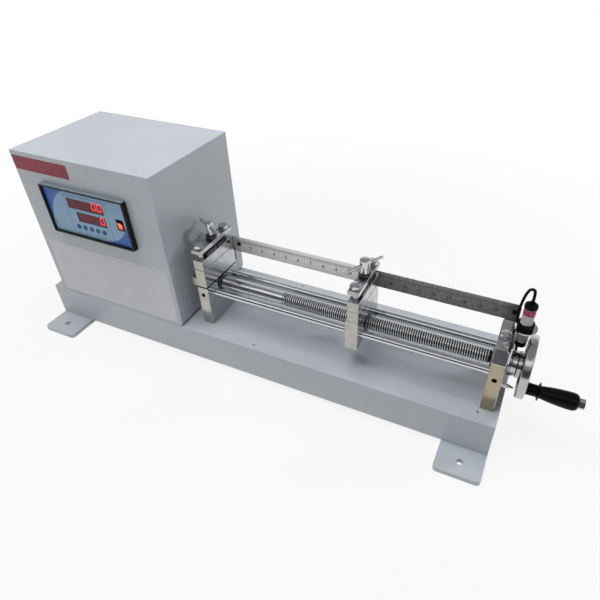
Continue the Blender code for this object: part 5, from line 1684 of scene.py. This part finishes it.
# The cable's route, from the sensor's boot to the gland.
CABLE_RADIUS = 0.00225
CABLE_ROUTE = (
    (0.4094, -0.0172, 0.2625),
    (0.4094, -0.0172, 0.2700),
    (0.4081, -0.0130, 0.2778),
    (0.4026, -0.0070, 0.2745),
    (0.3986, -0.0030, 0.2640),
    (0.3956, 0.0005, 0.2440),
    (0.3946, 0.0035, 0.2215),
    (0.3971, 0.0050, 0.1990),
    (0.4026, 0.0055, 0.1760),
    (0.4061, 0.0060, 0.1500),
    (0.4051, 0.0120, 0.1290),
    (0.4016, 0.0270, 0.1175),
    (0.3956, 0.0420, 0.1200),
    (0.3896, 0.0494, 0.1170),
    (0.3886, 0.0500, 0.1100),
    (0.3886, 0.0500, 0.1020),
)


def smooth_route(points, count):
    """Points along a smooth curve through the given ones, evenly spread over each stretch."""
    points = [Vector(point) for point in points]
    padded = [2 * points[0] - points[1], *points, 2 * points[-1] - points[-2]]
    route = []
    for index in range(1, len(padded) - 2):
        before, start, end, after = padded[index - 1:index + 3]
        for step in range(count):
            t = step / count
            bend = 2 * start + (end - before) * t
            bend += (2 * before - 5 * start + 4 * end - after) * t * t
            bend += (3 * start - before - 3 * end + after) * t * t * t
            route.append(bend / 2)
    route.append(points[-1])
    return route


def route_length(route):
    """Length along a row of points."""
    return sum((end - start).length for start, end in zip(route, route[1:]))


class TESTER_OT_cable(bpy.types.Operator):
    """Lay the sensor's cable and build its gland in the base"""

    bl_idname = "tester.cable"
    bl_label = "Cable"

    def execute(self, context):
        colours = context.scene.tester_colours
        route = smooth_route(CABLE_ROUTE, 4)
        data = bpy.data.curves.new("sensor_lead", "CURVE")
        data.dimensions = "3D"
        data.bevel_depth = CABLE_RADIUS
        data.bevel_resolution = 6
        data.use_fill_caps = True
        line = data.splines.new("POLY")
        line.points.add(len(route) - 1)
        for point, place in zip(line.points, route):
            point.co = (*place, 1.0)
        data.materials.append(moulded("cable_jacket", colours.plastic, 0.34, 900.0))
        cable = bpy.data.objects.new("sensor_lead", data)
        context.scene.collection.objects.link(cable)
        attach(cable, "machine")
        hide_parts("sensor_cable")
        route_length(route)
        self.make_gland(moulded("gland_plastic", colours.plastic, 0.42))
        return {"FINISHED"}

    def make_gland(self, material):
        """A hexagon on the base's top under a domed nut, with its neck through the sheet."""
        low, high, centre = box_across("cable_gland", "Z")
        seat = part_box("base_shell")[1].z + 0.0003
        neck = 0.0063
        mesh = bmesh.new()
        add_hex(mesh, "Z", centre, seat, seat + 0.006, 0.0085)
        profile = [(low.z, 0.0), (low.z, neck), (seat + 0.0055, neck), (seat + 0.0062, 0.0078)]
        profile += [(high.z - 0.0075, 0.0076), (high.z - 0.0040, 0.0066), (high.z - 0.0014, 0.0046)]
        profile += [(high.z - 0.0004, 0.0036), (high.z, 0.0030), (high.z, 0.0)]
        add_turned(mesh, "Z", centre, profile, 72)
        piece("cable_gland_dome", mesh, material, "machine", ("cable_gland",))


class TESTER_OT_stage(bpy.types.Operator):
    """Lay the pale floor, hang the soft lights and set the camera"""

    bl_idname = "tester.stage"
    bl_label = "Stage"

    def execute(self, context):
        colours = context.scene.tester_colours
        self.make_floor(context, colours)
        self.make_world(context)
        self.make_lights(context)
        self.make_camera(context)
        context.scene.view_settings.view_transform = "Standard"
        return {"FINISHED"}

    def make_floor(self, context, colours):
        """A wide disc just under the base."""
        depth, radius = -0.0006, 40.0
        mesh = bmesh.new()
        add_turned(mesh, "Z", (0.0, 0.0), ((depth, 0.0), (depth, radius)), 96)
        data = bpy.data.meshes.new("floor")
        mesh.to_mesh(data)
        mesh.free()
        data.materials.append(pale_floor("floor_paper", colours.floor))
        floor = bpy.data.objects.new("floor", data)
        context.scene.collection.objects.link(floor)

    def make_world(self, context):
        """A soft even light that shows white, but for a dim ceiling and a dark room behind the camera."""
        world = bpy.data.worlds.new("studio")
        world.use_nodes = True
        sky = Graph(world.node_tree)
        place = sky.node("ShaderNodeTexCoord", output="Generated")
        up = sky.component(place, "Z")
        front = -sky.component(place, "Y")
        ceiling = up.between(0.20, 0.62)
        window = up.between(0.66, 0.74) * (1.0 - up.between(0.84, 0.92)) * front.between(0.0, 0.2)
        room = front.between(0.20, 0.55) * (1.0 - up.between(0.40, 0.58))
        mirrored = (1.0 - ceiling * 0.68) * (1.0 - room * 0.93) + window * 1.1
        seen, glossy = sky.seen(), sky.ray("Glossy")
        level = PLAIN_LIGHT * (1.0 - seen) + seen * (1.0 - glossy) + glossy * mirrored
        sky.feed(sky.tree.nodes["Background"].inputs["Strength"], level)
        sky.feed(sky.tree.nodes["Background"].inputs["Color"], (1.0, 1.0, 1.0))
        context.scene.world = world

    def make_lights(self, context):
        """Soft light from above and from the front, and a small lamp behind at the right."""
        # Each lamp's name, place, target, size and power in watts.
        lamps = (
            ("overhead", (-0.28, -0.30, 2.3), (-0.12, 0.0, 0.1), (1.2, 1.4), 33.5),
            ("right_key", (1.20, 0.62, 0.95), (-0.2, 0.0, 0.20), (0.14, 0.14), 4.6),
            ("front_fill", (-0.6, -2.6, 1.6), (0.0, 0.0, 0.15), (1.6, 0.9), 6.8),
        )
        for name, place, target, size, power in lamps:
            data = bpy.data.lights.new(name, "AREA")
            data.shape = "RECTANGLE"
            data.size, data.size_y = size
            data.energy = power
            lamp = bpy.data.objects.new(name, data)
            lamp.visible_glossy = False
            lamp.location = place
            aim = Vector(target) - Vector(place)
            lamp.rotation_euler = aim.to_track_quat("-Z", "Y").to_euler()
            context.scene.collection.objects.link(lamp)

    def make_camera(self, context):
        """A camera at the height, angle and frame of the photograph."""
        level, roll = math.cos(CAMERA_PITCH), CAMERA_ROLL
        forward = Vector((
            -math.sin(CAMERA_AZIMUTH) * level,
            math.cos(CAMERA_AZIMUTH) * level,
            -math.sin(CAMERA_PITCH),
        ))
        right = forward.cross(Vector((0, 0, 1))).normalized()
        up = right.cross(forward)
        across = right * math.cos(roll) + up * math.sin(roll)
        over = up * math.cos(roll) - right * math.sin(roll)
        turned = Matrix((across, over, -forward)).transposed().to_4x4()
        data = bpy.data.cameras.new("camera")
        data.lens = CAMERA_LENS
        data.sensor_width = 36.0
        data.shift_x, data.shift_y = CAMERA_SHIFT
        camera = bpy.data.objects.new("camera", data)
        camera.matrix_world = Matrix.Translation(CAMERA_PLACE) @ turned
        context.scene.collection.objects.link(camera)
        context.scene.camera = camera


PIECES = (
    TESTER_OT_base,
    TESTER_OT_cabinet,
    TESTER_OT_counter,
    TESTER_OT_bed,
    TESTER_OT_carriage,
    TESTER_OT_clamps,
    TESTER_OT_end_block,
    TESTER_OT_rule,
    TESTER_OT_handwheel,
    TESTER_OT_sensor,
    TESTER_OT_cable,
    TESTER_OT_stage,
)


class TESTER_PT_panel(bpy.types.Panel):
    """Lists the pieces of the tester and their sizes and colours"""

    bl_idname = "TESTER_PT_panel"
    bl_label = "Wire Elongation Tester"
    bl_space_type = "VIEW_3D"
    bl_region_type = "UI"
    bl_category = "Tester"

    def draw(self, context):
        layout = self.layout
        for operator in PIECES:
            layout.operator(operator.bl_idname)
        for group in (context.scene.tester_sizes, context.scene.tester_colours):
            box = layout.box()
            for name in group.bl_rna.properties.keys():
                if name not in ("rna_type", "name"):
                    box.prop(group, name)


CLASSES = (TesterSizes, TesterColours, *PIECES, TESTER_PT_panel)


def register():
    for kind in CLASSES:
        bpy.utils.register_class(kind)
    bpy.types.Scene.tester_sizes = PointerProperty(type=TesterSizes)
    bpy.types.Scene.tester_colours = PointerProperty(type=TesterColours)


def unregister():
    del bpy.types.Scene.tester_colours
    del bpy.types.Scene.tester_sizes
    for kind in reversed(CLASSES):
        bpy.utils.unregister_class(kind)


def main():
    register()
    bpy.ops.tester.stage()
    bpy.ops.tester.cable()
    bpy.ops.tester.base()
    bpy.ops.tester.cabinet()
    bpy.ops.tester.counter()
    bpy.ops.tester.bed()
    bpy.ops.tester.carriage()
    bpy.ops.tester.clamps()
    bpy.ops.tester.end_block()
    bpy.ops.tester.rule()
    bpy.ops.tester.handwheel()
    bpy.ops.tester.sensor()


if __name__ == "__main__":
    main()
